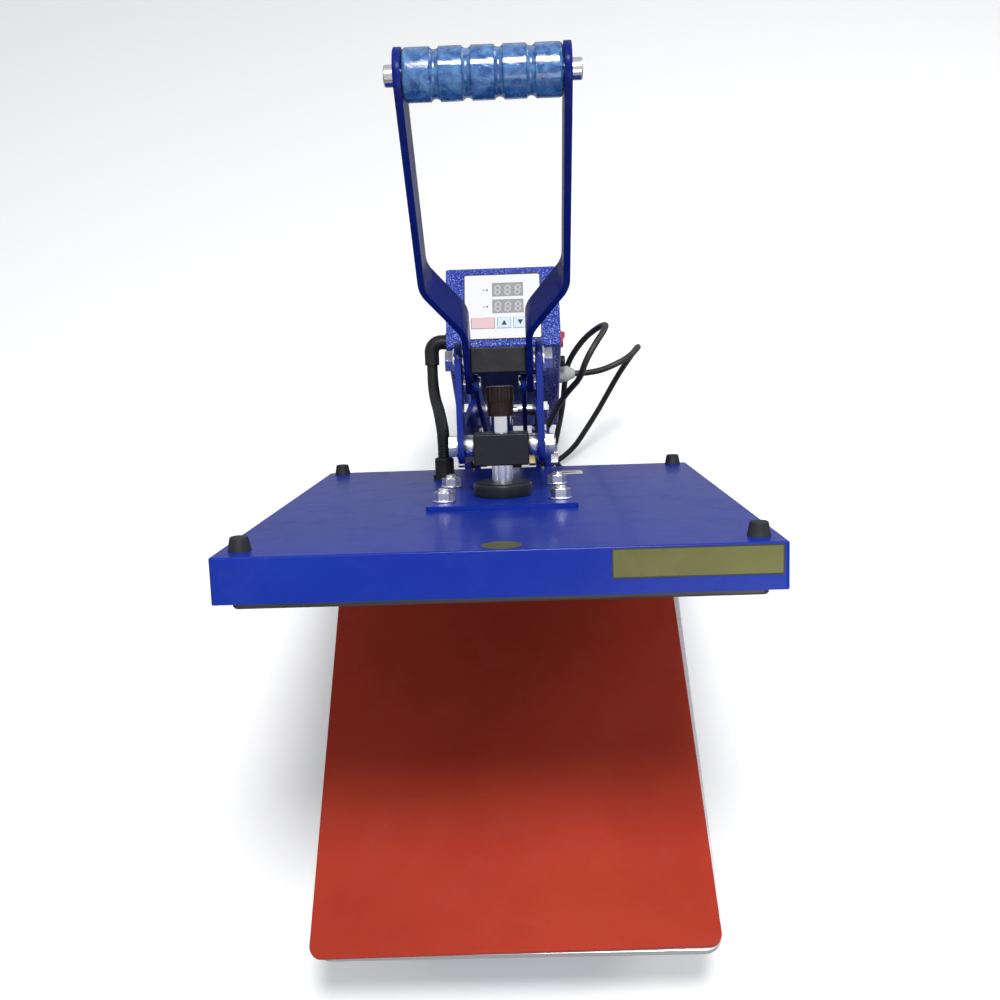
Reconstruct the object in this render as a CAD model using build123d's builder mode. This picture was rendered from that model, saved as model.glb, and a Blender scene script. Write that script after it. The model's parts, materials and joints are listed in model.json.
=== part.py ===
from build123d import *

from math import acos, atan2, cos, degrees, hypot, radians, sin
import os

# Clamshell mounting press, millimetres. X is to the right, +Y is to the back, +Z is up.
# The origin is on the table, under the middle of the press with its arm swung open.
os.makedirs("parts", exist_ok=True)

# ---------- driving dimensions ----------
# platens
platen_width = 400.0
platen_depth = 500.0
lower_plate_thickness = 12.0
lower_plate_corner = 18.0
pad_thickness = 8.0
pad_corner = 12.0
pad_shift = -5.0
pad_turn = 0.7
heating_plate_thickness = 18.0
closed_gap = 0.3
# base
foot_height = 18.0
foot_radius = 24.0
foot_inset = 45.0
rail_size = 40.0
rail_wall = 2.5
rail_spacing = 200.0
rail_front_inset = 33.0
rail_rear_reach = 74.0
beam_height = 52.0
beam_depth = 60.0
beam_length = 330.0
beam_inset = 110.0
# swing of the arm
open_angle = 42.65
hinge_behind_platen = 93.0
hinge_above_pad = 48.0
# arm
plate_gap = 70.0
arm_plate_thickness = 6.0
arm_strip_width = 34.0
arm_boss_radius = 20.0
lower_pivot_height = 46.0
upper_pivot_height = 127.0
strut_tie_back = -62.0
strut_tie_height = 62.0
lower_block_height = 30.0
lower_block_depth = 34.0
block_width = 52.0
upper_block_height = 24.0
upper_block_depth = 27.0
# handle
handle_bar_thickness = 6.0
handle_bar_width = 40.0
handle_lower_reach = 49.0
handle_upper_start = 100.0
grip_height = 291.0
grip_length = 118.0
grip_radius = 19.5
grip_rod_radius = 8.0
handle_rod_length = 147.0
# toggle links
toggle_radius = 26.0
link_thickness = 5.0
link_end_radius = 9.0
link_foot_radius = 13.0
link_pin_back = 40.0
link_pin_drop = 20.0
link_pin_radius = 6.0
link_pin_slack = 1.8
toggle_pin_radius = 4.0
# covers
cover_margin = 12.0
cover_height = 35.5
cover_wall = 1.5
plate_below_cover = 6.5
# pressure screw
screw_radius = 10.0
screw_pitch = 2.5
screw_travel = 6.0
knob_radius = 13.5
knob_bottom = 74.0
knob_top = 102.0
flange_radius = 28.0
flange_height = 13.0
# control box
box_width = 138.0
box_height = 108.0
box_depth = 200.0
box_back_depth = 40.0
box_wall = 1.5
box_tilt = 28.0
box_front = -59.0
box_bottom = 138.0
# fits
running_fit = 0.05
slide_fit = 0.3
bolt_clearance = 0.25

# ---------- frames and heights worked out from them ----------
rail_bottom = foot_height
rail_top = rail_bottom + rail_size
plate_bottom = rail_top + beam_height
plate_top = plate_bottom + lower_plate_thickness
pad_top = plate_top + pad_thickness
hinge_height = pad_top + hinge_above_pad
box_total_depth = box_depth + box_back_depth


def turned(y, z, angle):
    """Side-view point (y, z) after a turn by angle degrees, positive from +Y towards +Z."""
    turn = radians(angle)
    return y * cos(turn) - z * sin(turn), y * sin(turn) + z * cos(turn)


box_back_y = box_front + box_total_depth * cos(radians(box_tilt)) + box_height * sin(radians(box_tilt))
box_back_z = box_bottom - box_total_depth * sin(radians(box_tilt)) + box_height * cos(radians(box_tilt))
rear_reach = turned(box_back_y, box_back_z, -open_angle)[0]
front_reach = hinge_behind_platen + platen_depth
hinge_y = (front_reach - rear_reach) / 2


def frame_at(y, z, lean):
    """Frame with its X across the press, at (y, z), leaning back by lean degrees."""
    return Plane(origin=(0, y, z), x_dir=(1, 0, 0), z_dir=(0, sin(radians(lean)), cos(radians(lean))))


def facing_up(frame, x=0.0, y=0.0, z=0.0):
    return Plane(origin=frame.from_local_coords((x, y, z)), x_dir=frame.x_dir, z_dir=frame.z_dir)


def facing_right(frame, x=0.0, y=0.0, z=0.0):
    return Plane(origin=frame.from_local_coords((x, y, z)), x_dir=frame.y_dir, z_dir=frame.x_dir)


def facing_front(frame, x=0.0, y=0.0, z=0.0):
    return Plane(origin=frame.from_local_coords((x, y, z)), x_dir=frame.x_dir, z_dir=-frame.y_dir)


def world_point(frame, y, z):
    point = frame.from_local_coords((0, y, z))
    return point.Y, point.Z


def disc(plane, radius, length, mode=Mode.ADD):
    """Round bar on a plane, in the part that is being built."""
    with BuildSketch(plane, mode=Mode.PRIVATE) as outline:
        Circle(radius)
    extrude(outline.sketch, amount=length, mode=mode)


def tube(plane, outer, inner, length, mode=Mode.ADD):
    """Round tube on a plane, in the part that is being built."""
    with BuildSketch(plane, mode=Mode.PRIVATE) as outline:
        Circle(outer)
        Circle(inner, mode=Mode.SUBTRACT)
    extrude(outline.sketch, amount=length, mode=mode)


def slab(plane, width, depth, height, mode=Mode.ADD, corner=0.0):
    """Rectangular block on a plane, in the part that is being built."""
    with BuildSketch(plane, mode=Mode.PRIVATE) as outline:
        if corner > 0:
            RectangleRounded(width, depth, corner)
        else:
            Rectangle(width, depth)
    extrude(outline.sketch, amount=height, mode=mode)


def hexagon(plane, across_flats, height, bore=0.0):
    """Bolt head or nut on a plane, in the part that is being built."""
    with BuildSketch(plane, mode=Mode.PRIVATE) as outline:
        RegularPolygon(across_flats / 2, 6, major_radius=False)
        if bore > 0:
            Circle(bore, mode=Mode.SUBTRACT)
    extrude(outline.sketch, amount=height)


def save(piece, name):
    piece.part.label = name
    export_step(piece.part, f"parts/{name}.step")


table = frame_at(0, 0, 0)
base = frame_at(hinge_y, hinge_height, 0)
arm = frame_at(hinge_y, hinge_height, open_angle)
pivot_back = -hinge_behind_platen - platen_depth / 2
handle = frame_at(*world_point(arm, pivot_back, upper_pivot_height), 0)
control = frame_at(*world_point(arm, box_front, box_bottom), open_angle + box_tilt)

# ---------- base ----------
front_y = hinge_y - front_reach
platen_middle_y = hinge_y + pivot_back
rail_front = front_y + rail_front_inset
rail_rear = hinge_y + rail_rear_reach
rail_length = rail_rear - rail_front
rail_middle = (rail_front + rail_rear) / 2
foot_places = [
    (side * rail_spacing / 2, end)
    for side in (-1, 1)
    for end in (rail_front + foot_inset, rail_rear - foot_inset)
]
foot_bolt_radius = 4.0
foot_bolt_length = 26.0

bracket_front = -78.0
bracket_rear = 66.0
bracket_bolt_radius = 5.0
bracket_bolt_places = [
    (side * rail_spacing / 2, hinge_y + y)
    for side in (-1, 1)
    for y in (bracket_front + 20, bracket_rear - 20)
]
plate_bolt_radius = 5.0
plate_bolt_depth = 8.0
beam_places = [front_y + beam_inset, front_y + platen_depth - beam_inset]
member_places = [rail_front + rail_size, platen_middle_y, hinge_y - 30.0, rail_rear - rail_size]

# Two rails and the cross members between them, welded into one frame.
with BuildPart() as base_frame:
    for side in (-1, 1):
        rail_end = facing_front(table, side * rail_spacing / 2, rail_rear, rail_bottom + rail_size / 2)
        with BuildSketch(rail_end):
            RectangleRounded(rail_size, rail_size, 2 * rail_wall)
        extrude(amount=rail_length)
    for y in member_places:
        with BuildSketch(facing_right(table, -rail_spacing / 2, y, rail_bottom + rail_size / 2)):
            RectangleRounded(rail_size - 1, rail_size - 1, 2 * rail_wall)
        extrude(amount=rail_spacing)
    for side in (-1, 1):
        rail_end = facing_front(table, side * rail_spacing / 2, rail_rear, rail_bottom + rail_size / 2)
        with BuildSketch(rail_end):
            RectangleRounded(rail_size - 2 * rail_wall, rail_size - 2 * rail_wall, rail_wall)
        extrude(amount=rail_length, mode=Mode.SUBTRACT)
    for y in member_places:
        with BuildSketch(facing_right(table, -rail_spacing / 2, y, rail_bottom + rail_size / 2)):
            Rectangle(rail_size - 1 - 2 * rail_wall, rail_size - 1 - 2 * rail_wall)
        extrude(amount=rail_spacing, mode=Mode.SUBTRACT)
    for x, y in foot_places:
        disc(
            facing_up(table, x, y, rail_bottom - rail_wall), foot_bolt_radius + bolt_clearance,
            3 * rail_wall, Mode.SUBTRACT,
        )
    for x, y in bracket_bolt_places:
        disc(
            facing_up(table, x, y, rail_top - 2 * rail_wall), bracket_bolt_radius + bolt_clearance,
            3 * rail_wall, Mode.SUBTRACT,
        )
save(base_frame, "base_frame")

# Plugs that close the rails' open ends.
plug_head = 3.0
plug_depth = 12.0
with BuildPart() as end_caps:
    for side in (-1, 1):
        for end, direction in ((rail_front, -1), (rail_rear, 1)):
            start = facing_front(table, side * rail_spacing / 2, end, rail_bottom + rail_size / 2)
            with BuildSketch(start):
                RectangleRounded(rail_size, rail_size, 2 * rail_wall)
            extrude(amount=-direction * plug_head)
            with BuildSketch(start):
                RectangleRounded(rail_size - 2 * rail_wall, rail_size - 2 * rail_wall, rail_wall)
            extrude(amount=direction * plug_depth)
save(end_caps, "rail_end_caps")

foot_recess = 6.0
with BuildPart() as feet:
    for x, y in foot_places:
        with BuildSketch(facing_up(table, x, y)):
            Circle(foot_radius)
        extrude(amount=foot_height, taper=6)
    fillet(feet.edges().group_by(Axis.Z)[0], radius=2)
    for x, y in foot_places:
        disc(facing_up(table, x, y), 2.2 * foot_bolt_radius, foot_recess, Mode.SUBTRACT)
        disc(facing_up(table, x, y), foot_bolt_radius, foot_height, Mode.SUBTRACT)
save(feet, "rubber_feet")

# Two beams across the rails carry the lower plate.
beam_wall = 2.5
plate_bolt_places = [(side * beam_length * 0.4, y) for side in (-1, 1) for y in beam_places]
with BuildPart() as beams:
    for y in beam_places:
        with BuildSketch(facing_right(table, -beam_length / 2, y, rail_top + beam_height / 2)):
            RectangleRounded(beam_depth, beam_height, 2 * beam_wall)
            RectangleRounded(
                beam_depth - 2 * beam_wall, beam_height - 2 * beam_wall, beam_wall, mode=Mode.SUBTRACT
            )
        extrude(amount=beam_length)
    for x, y in plate_bolt_places:
        disc(
            facing_up(table, x, y, plate_bottom - 2 * beam_wall),
            plate_bolt_radius + bolt_clearance, 2 * beam_wall, Mode.SUBTRACT,
        )
save(beams, "support_beams")

with BuildPart() as lower_plate:
    slab(
        facing_up(table, 0, platen_middle_y, plate_bottom),
        platen_width, platen_depth, lower_plate_thickness, corner=lower_plate_corner,
    )
    for x, y in plate_bolt_places:
        disc(facing_up(table, x, y, plate_bottom), plate_bolt_radius, plate_bolt_depth, Mode.SUBTRACT)
save(lower_plate, "lower_plate")

# The pad lies loose, a little off square.
pad_frame = Plane(
    origin=(pad_shift, platen_middle_y, plate_top),
    x_dir=(cos(radians(pad_turn)), sin(radians(pad_turn)), 0),
    z_dir=(0, 0, 1),
)
with BuildPart() as pad:
    slab(pad_frame, platen_width, platen_depth, pad_thickness, corner=pad_corner)
    fillet(pad.edges().group_by(Axis.Z)[-1], radius=1.2)
save(pad, "silicone_pad")

# ---------- hinge bracket at the back of the base ----------
plate_inner = plate_gap / 2
plate_outer = plate_inner + arm_plate_thickness
tab_thickness = 3.0
upright_thickness = 8.0
upright_gap = 5.0
upright_inner = plate_outer + upright_gap
upright_outer = upright_inner + upright_thickness
bracket_plate_thickness = 8.0
bracket_floor = rail_top - hinge_height
bracket_top = bracket_floor + bracket_plate_thickness
hinge_boss_radius = 24.0
link_pin_boss_radius = 20.0
hinge_bolt_radius = 8.0
bush_wall = 3.0
strut_foot_back = -60.0
strut_foot_height = 12.0
strut_pin_radius = 5.0
strut_eye_radius = 9.0
strut_eye_width = 14.0
strut_ear_thickness = 5.0

with BuildPart() as bracket:
    slab(
        facing_up(base, 0, (bracket_front + bracket_rear) / 2, bracket_floor),
        rail_spacing + rail_size - 4, bracket_rear - bracket_front, bracket_plate_thickness, corner=6,
    )
    for side in (-1, 1):
        with BuildSketch(facing_right(base, side * upright_inner)):
            with BuildLine():
                Polyline(
                    (bracket_front + 16, bracket_top),
                    (bracket_rear - 8, bracket_top),
                    (link_pin_back + link_pin_boss_radius, -link_pin_drop),
                    (link_pin_back, link_pin_boss_radius - link_pin_drop),
                    (0, hinge_boss_radius),
                    (-hinge_boss_radius, 0),
                    close=True,
                )
            make_face()
            Circle(hinge_boss_radius)
            with Locations((link_pin_back, -link_pin_drop)):
                Circle(link_pin_boss_radius)
                Circle(link_pin_radius, mode=Mode.SUBTRACT)
            Circle(hinge_bolt_radius, mode=Mode.SUBTRACT)
        extrude(amount=side * upright_thickness)
        strut_lug_face = side * (strut_eye_width / 2 + slide_fit)
        with BuildSketch(facing_right(base, strut_lug_face, strut_foot_back, bracket_top)):
            with Locations((0, strut_foot_height / 2)):
                Rectangle(2 * strut_eye_radius, strut_foot_height)
            with Locations((0, strut_foot_height)):
                Circle(strut_eye_radius)
                Circle(strut_pin_radius, mode=Mode.SUBTRACT)
        extrude(amount=side * strut_ear_thickness)
    for x, y in bracket_bolt_places:
        disc(
            facing_up(table, x, y, rail_top), bracket_bolt_radius + bolt_clearance,
            bracket_plate_thickness, Mode.SUBTRACT,
        )
save(bracket, "hinge_bracket")

# Screws up through the feet, bolts down through the bracket and bolts up into the lower plate.
with BuildPart() as base_bolts:
    for x, y in foot_places:
        disc(facing_up(table, x, y, foot_recess - 3.5), 2 * foot_bolt_radius, 3.5)
        disc(facing_up(table, x, y, foot_recess), foot_bolt_radius, foot_bolt_length)
        hexagon(facing_up(table, x, y, rail_bottom + rail_wall), 13.0, 6.5)
    for x, y in bracket_bolt_places:
        disc(facing_up(table, x, y, rail_top + bracket_plate_thickness), 2 * bracket_bolt_radius, 1.5)
        hexagon(facing_up(table, x, y, rail_top + bracket_plate_thickness + 1.5), 17.0, 6.5)
        disc(
            facing_up(table, x, y, rail_top - 2 * rail_wall), bracket_bolt_radius,
            bracket_plate_thickness + 2 * rail_wall + 1.5,
        )
    for x, y in plate_bolt_places:
        disc(
            facing_up(table, x, y, plate_bottom - beam_wall), plate_bolt_radius,
            plate_bolt_depth + beam_wall,
        )
        hexagon(facing_up(table, x, y, plate_bottom - beam_wall - 6.5), 17.0, 6.5)
save(base_bolts, "base_bolts")

# Bolts that the arm swings on, one each side.
nut_height = 8.0
with BuildPart() as hinge_bolts:
    for side in (-1, 1):
        hexagon(facing_right(base, side * upright_outer), 24.0, side * 9.0)
        disc(
            facing_right(base, side * (plate_inner - nut_height - slide_fit)), hinge_bolt_radius,
            side * (upright_outer - plate_inner + nut_height + slide_fit),
        )
save(hinge_bolts, "hinge_bolts")

# A spacer outside the arm's plate and a nut inside it, on each hinge bolt.
with BuildPart() as hinge_spacers:
    for side in (-1, 1):
        hexagon(
            facing_right(base, side * (plate_inner - slide_fit)), 24.0, -side * nut_height, hinge_bolt_radius
        )
        tube(
            facing_right(base, side * (plate_outer + slide_fit)), 1.75 * hinge_bolt_radius,
            hinge_bolt_radius, side * (upright_gap - slide_fit),
        )
save(hinge_spacers, "hinge_spacers")

with BuildPart() as hinge_bushes:
    for side in (-1, 1):
        tube(
            facing_right(arm, side * plate_inner), hinge_bolt_radius + bush_wall,
            hinge_bolt_radius + running_fit, side * arm_plate_thickness,
        )
save(hinge_bushes, "hinge_bushes")

link_outer = block_width / 2 - 0.5
link_inner = link_outer - link_thickness
pin_spot = (link_pin_back, -link_pin_drop)

# Bolt that anchors the links, with the sleeves that keep them in place along it.
with BuildPart() as link_pin:
    disc(facing_right(base, -upright_outer - 8, *pin_spot), link_pin_radius, 2 * (upright_outer + 8))
    hexagon(facing_right(base, upright_outer, *pin_spot), 18.0, 7.5)
    hexagon(facing_right(base, -upright_outer, *pin_spot), 18.0, -7.0)
    for side in (-1, 1):
        tube(
            facing_right(base, side * (link_outer + slide_fit), *pin_spot), 1.5 * link_pin_radius,
            link_pin_radius, side * (upright_inner - link_outer - slide_fit),
        )
    tube(
        facing_right(base, -link_inner + slide_fit, *pin_spot), 1.5 * link_pin_radius,
        link_pin_radius, 2 * (link_inner - slide_fit),
    )
save(link_pin, "link_anchor_bolt")

with BuildPart() as strut_pin:
    reach = strut_eye_width / 2 + slide_fit + strut_ear_thickness
    disc(
        facing_right(base, -reach, strut_foot_back, bracket_top + strut_foot_height),
        strut_pin_radius, 2 * reach,
    )
    for side in (-1, 1):
        disc(
            facing_right(base, side * reach, strut_foot_back, bracket_top + strut_foot_height),
            1.5 * strut_pin_radius, side * 2.0,
        )
save(strut_pin, "strut_foot_pin")

# ---------- arm ----------
strip = arm_strip_width / 2
bolt_radius = 6.0
ear_radius = 14.0
tab_bolt_back = -22.0
tab_bolt_height = 34.0
tab_bolt_radius = 4.0
leg_toe_back = -70.0
leg_toe_height = 4.0
for side, name in ((-1, "arm_plate_left"), (1, "arm_plate_right")):
    with BuildPart() as arm_plate:
        with BuildSketch(facing_right(arm, side * plate_inner)):
            with BuildLine():
                Polyline(
                    (pivot_back - strip, upper_pivot_height),
                    (pivot_back - strip, lower_pivot_height),
                    (pivot_back, lower_pivot_height - strip),
                    (leg_toe_back, leg_toe_height),
                    (0, -arm_boss_radius),
                    (arm_boss_radius, 0),
                    (tab_bolt_back + ear_radius, tab_bolt_height + ear_radius / 2),
                    (strut_tie_back, strut_tie_height + ear_radius),
                    (pivot_back + strip, lower_pivot_height + strip),
                    (pivot_back + strip, upper_pivot_height),
                    close=True,
                )
            make_face()
            with Locations((pivot_back, upper_pivot_height), (pivot_back, lower_pivot_height)):
                Circle(strip)
            Circle(arm_boss_radius)
            Circle(hinge_bolt_radius + bush_wall, mode=Mode.SUBTRACT)
            with Locations((pivot_back, upper_pivot_height)):
                Circle(bolt_radius + running_fit, mode=Mode.SUBTRACT)
            with Locations((pivot_back, lower_pivot_height), (strut_tie_back, strut_tie_height)):
                Circle(bolt_radius, mode=Mode.SUBTRACT)
            with Locations((tab_bolt_back, tab_bolt_height)):
                Circle(tab_bolt_radius, mode=Mode.SUBTRACT)
        extrude(amount=side * arm_plate_thickness)
    save(arm_plate, name)

lower_block_bottom = lower_pivot_height - lower_block_height / 2 - 3.0
lock_screw_radius = 3.0
lock_screw_height = 11.0
lock_screw_place = (8.5, pivot_back + 12.0)
with BuildPart() as lower_block:
    slab(
        facing_up(arm, 0, pivot_back, lower_block_bottom),
        block_width, lower_block_depth, lower_block_height,
    )
    chamfer(lower_block.edges(), length=1.0)
    disc(
        facing_up(arm, 0, pivot_back, lower_block_bottom), screw_radius + running_fit,
        lower_block_height, Mode.SUBTRACT,
    )
    for side in (-1, 1):
        disc(
            facing_right(arm, side * (screw_radius + 2), pivot_back, lower_pivot_height), bolt_radius,
            side * block_width, Mode.SUBTRACT,
        )
save(lower_block, "lower_block")

head_height = 7.5
washer_thickness = 1.5

# Bolts that hold the block between the arm's plates, their spacers and washers, and the screw on its top.
with BuildPart() as lower_bolts:
    for side in (-1, 1):
        end = side * (screw_radius + 3)
        disc(
            facing_right(arm, end, pivot_back, lower_pivot_height), bolt_radius,
            side * (plate_outer + washer_thickness) - end,
        )
        hexagon(
            facing_right(arm, side * (plate_outer + washer_thickness), pivot_back, lower_pivot_height),
            19.0, side * head_height,
        )
        tube(
            facing_right(arm, side * block_width / 2, pivot_back, lower_pivot_height), 10.5, bolt_radius,
            side * (plate_inner - block_width / 2),
        )
        tube(
            facing_right(arm, side * plate_outer, pivot_back, lower_pivot_height), 11.5, bolt_radius,
            side * washer_thickness,
        )
    disc(
        facing_up(arm, *lock_screw_place, lower_block_bottom + lower_block_height),
        lock_screw_radius, lock_screw_height,
    )
save(lower_bolts, "lower_pivot_bolts")

# Rod between the arm's plates that takes the gas strut, with a sleeve either side of its eye.
tab_outer = plate_outer + tab_thickness
with BuildPart() as tie:
    disc(
        facing_right(arm, -tab_outer - 8, strut_tie_back, strut_tie_height), bolt_radius, 2 * (tab_outer + 8)
    )
    for side in (-1, 1):
        hexagon(facing_right(arm, side * tab_outer, strut_tie_back, strut_tie_height), 18.0, side * 6.5)
        start = strut_eye_width / 2 + slide_fit
        tube(
            facing_right(arm, side * start, strut_tie_back, strut_tie_height), 8.0, bolt_radius,
            side * (plate_inner - start),
        )
save(tie, "arm_tie")

# ---------- gas strut, from the bracket's foot up to the arm's tie ----------
strut_foot_z = bracket_top + strut_foot_height
strut_radius = 11.0
strut_bore = 9.0
strut_rod_radius = 4.0
strut_play = 1.5
strut_body_length = 108.0
strut_neck = 10.5
strut_rod_length = 110.0
strut_piston_length = 8.0
strut_wall = 3.0
tie_when_open = turned(strut_tie_back, strut_tie_height, -open_angle)
strut_run = (tie_when_open[0] - strut_foot_back, tie_when_open[1] - strut_foot_z)
strut_open_length = hypot(*strut_run)
strut_open_angle = degrees(atan2(strut_run[1], strut_run[0]))
strut = frame_at(hinge_y + strut_foot_back, hinge_height + strut_foot_z, 90 - strut_open_angle)

with BuildPart() as cylinder:
    disc(facing_right(strut, -strut_eye_width / 2), strut_eye_radius, strut_eye_width)
    disc(facing_up(strut), strut_eye_width / 2 - 0.5, strut_neck + strut_wall)
    disc(facing_up(strut, 0, 0, strut_neck), strut_radius, strut_body_length)
    disc(
        facing_up(strut, 0, 0, strut_neck + strut_wall), strut_bore,
        strut_body_length - 2 * strut_wall, Mode.SUBTRACT,
    )
    disc(
        facing_up(strut, 0, 0, strut_neck + strut_body_length - 2 * strut_wall),
        strut_rod_radius + strut_play, 3 * strut_wall, Mode.SUBTRACT,
    )
    disc(
        facing_right(strut, -strut_eye_width / 2), strut_pin_radius + running_fit,
        strut_eye_width, Mode.SUBTRACT,
    )
save(cylinder, "strut_cylinder")

with BuildPart() as strut_rod:
    rod_end = strut_open_length - strut_rod_length
    disc(facing_right(strut, -strut_eye_width / 2, 0, strut_open_length), bolt_radius + 4.5, strut_eye_width)
    disc(facing_up(strut, 0, 0, rod_end), strut_rod_radius, strut_rod_length)
    disc(facing_up(strut, 0, 0, rod_end), strut_bore - strut_play, strut_piston_length)
    disc(
        facing_right(strut, -strut_eye_width / 2, 0, strut_open_length), bolt_radius + running_fit,
        strut_eye_width, Mode.SUBTRACT,
    )
save(strut_rod, "strut_rod")

# ---------- toggle links, from the handle's lower pivot back to the bracket ----------
# With the arm down the handle's pivots and the links' anchor lie in one line.
anchor_in_arm = turned(link_pin_back, -link_pin_drop, open_angle)
to_anchor = (anchor_in_arm[0] - pivot_back, anchor_in_arm[1] - upper_pivot_height)
anchor_span = hypot(*to_anchor)
closed_reach = (link_pin_back - pivot_back, -link_pin_drop - upper_pivot_height)
link_length = hypot(*closed_reach) - toggle_radius
toggle_bend = degrees(
    acos((anchor_span**2 + toggle_radius**2 - link_length**2) / (2 * anchor_span * toggle_radius))
)
toggle_angle = degrees(atan2(to_anchor[1], to_anchor[0])) - toggle_bend
toggle_offset = turned(toggle_radius, 0, toggle_angle)
toggle_spot = (pivot_back + toggle_offset[0], upper_pivot_height + toggle_offset[1])
link_angle = degrees(atan2(anchor_in_arm[1] - toggle_spot[1], anchor_in_arm[0] - toggle_spot[0]))
link = frame_at(*world_point(arm, *toggle_spot), open_angle - link_angle)
closed_angle = degrees(atan2(closed_reach[1], closed_reach[0]))
handle_travel = closed_angle - toggle_angle
link_travel = closed_angle - link_angle - handle_travel
strut_closed_angle = degrees(atan2(strut_tie_height - strut_foot_z, strut_tie_back - strut_foot_back))
strut_travel = strut_closed_angle - strut_open_angle
print("travel of the handle, the links and the strut", handle_travel, link_travel, strut_travel)

with BuildPart() as links:
    for side in (-1, 1):
        with BuildSketch(facing_right(link, side * link_inner)):
            Polygon(
                (0, -link_end_radius),
                (link_length, -link_foot_radius),
                (link_length, link_foot_radius),
                (0, link_end_radius),
                align=None,
            )
            Circle(link_end_radius)
            Circle(toggle_pin_radius + running_fit, mode=Mode.SUBTRACT)
            with Locations((link_length, 0)):
                Circle(link_foot_radius)
                Circle(link_pin_radius + link_pin_slack, mode=Mode.SUBTRACT)
        extrude(amount=side * link_thickness)
save(links, "toggle_links")

# ---------- handle ----------
bar_middle = (block_width + handle_bar_thickness) / 2
grip_gap = 0.5
bar_spread = (grip_length + handle_bar_thickness) / 2 + grip_gap
bar_bend = 30.0
toe_radius = 10.0
toe = turned(*toggle_offset, -open_angle)
for side, name in ((-1, "handle_bar_left"), (1, "handle_bar_right")):
    with BuildPart() as bar:
        with BuildSketch(facing_front(handle, 0, handle_bar_width / 2)):
            with BuildLine():
                FilletPolyline(
                    (side * bar_middle, -2 * toggle_radius),
                    (side * bar_middle, handle_lower_reach),
                    (side * bar_spread, handle_upper_start),
                    (side * bar_spread, grip_height + handle_bar_width),
                    radius=bar_bend,
                )
                offset(amount=handle_bar_thickness / 2)
            make_face()
        extrude(amount=handle_bar_width)
        with BuildSketch(facing_right(handle)):
            Rectangle(handle_bar_width, grip_height, align=(Align.CENTER, Align.MIN))
            with Locations((0, 0), (0, grip_height)):
                Circle(handle_bar_width / 2)
            with Locations(toe):
                Circle(toe_radius)
            Polygon(
                (-handle_bar_width / 2, 0),
                (toe[0] - toe_radius, toe[1]),
                (toe[0] + toe_radius, toe[1]),
                (handle_bar_width / 2, 0),
                align=None,
            )
            Circle(bolt_radius, mode=Mode.SUBTRACT)
            with Locations((0, grip_height)):
                Circle(grip_rod_radius, mode=Mode.SUBTRACT)
            with Locations(toe):
                Circle(toggle_pin_radius, mode=Mode.SUBTRACT)
        extrude(amount=side * 2 * bar_spread, mode=Mode.INTERSECT)
    save(bar, name)

with BuildPart() as upper_block:
    slab(
        facing_up(arm, 0, pivot_back, upper_pivot_height - upper_block_height / 2),
        block_width, upper_block_depth, upper_block_height,
    )
    chamfer(upper_block.edges(), length=1.0)
    for side in (-1, 1):
        disc(
            facing_right(arm, side * (screw_radius + 3), pivot_back, upper_pivot_height), bolt_radius,
            side * block_width, Mode.SUBTRACT,
        )
save(upper_block, "upper_block")

# Bolts through the arm's plates and the bars into the block, with spacers between plate and bar.
bar_outer = block_width / 2 + handle_bar_thickness
with BuildPart() as handle_bolts:
    for side in (-1, 1):
        start = side * (screw_radius + 3)
        head = side * (plate_outer + slide_fit + washer_thickness)
        spot = (pivot_back, upper_pivot_height)
        disc(facing_right(arm, start, *spot), bolt_radius, head - start)
        hexagon(facing_right(arm, head, *spot), 19.0, side * head_height)
        tube(
            facing_right(arm, side * bar_outer, *spot), 10.5, bolt_radius,
            side * (plate_inner - slide_fit - bar_outer),
        )
        tube(facing_right(arm, head, *spot), 11.5, bolt_radius, -side * washer_thickness)
save(handle_bolts, "handle_bolts")

pin_head = 2.2
with BuildPart() as toggle_pins:
    for side in (-1, 1):
        inner_end = side * (link_inner - slide_fit)
        disc(facing_right(arm, inner_end, *toggle_spot), 6.5, -side * pin_head)
        disc(
            facing_right(arm, inner_end, *toggle_spot), toggle_pin_radius,
            side * (plate_inner - slide_fit - link_inner + slide_fit),
        )
        hexagon(
            facing_right(arm, side * bar_outer, *toggle_spot), 13.0,
            side * (plate_inner - slide_fit - bar_outer),
        )
save(toggle_pins, "toggle_pins")

rod_socket_flats = 8.0
rod_socket_depth = 5.0
with BuildPart() as handle_rod:
    disc(facing_right(handle, -handle_rod_length / 2, 0, grip_height), grip_rod_radius, handle_rod_length)
    chamfer(handle_rod.edges().filter_by(GeomType.CIRCLE), length=1.0)
    for side in (-1, 1):
        with BuildSketch(facing_right(handle, side * handle_rod_length / 2, 0, grip_height)):
            RegularPolygon(rod_socket_flats / 2, 6, major_radius=False)
        extrude(amount=-side * rod_socket_depth, mode=Mode.SUBTRACT)
save(handle_rod, "handle_rod")

grip_segments = 5
groove_radius = 4.0
groove_depth = 2.2
segment = grip_length / grip_segments
with BuildPart() as grip:
    tube(
        facing_right(handle, -grip_length / 2, 0, grip_height), grip_radius,
        grip_rod_radius + slide_fit, grip_length,
    )
    fillet(grip.edges().filter_by(GeomType.CIRCLE).sort_by(SortBy.RADIUS)[-2:], radius=3)
    for count in range(1, grip_segments):
        with BuildSketch(facing_front(handle, -grip_length / 2 + count * segment, 0, grip_height)):
            with Locations((0, grip_radius + groove_radius - groove_depth)):
                Circle(groove_radius)
        grip_axis = Axis((0, handle.origin.Y, handle.origin.Z + grip_height), (1, 0, 0))
        revolve(axis=grip_axis, mode=Mode.SUBTRACT)
save(grip, "grip")

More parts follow.
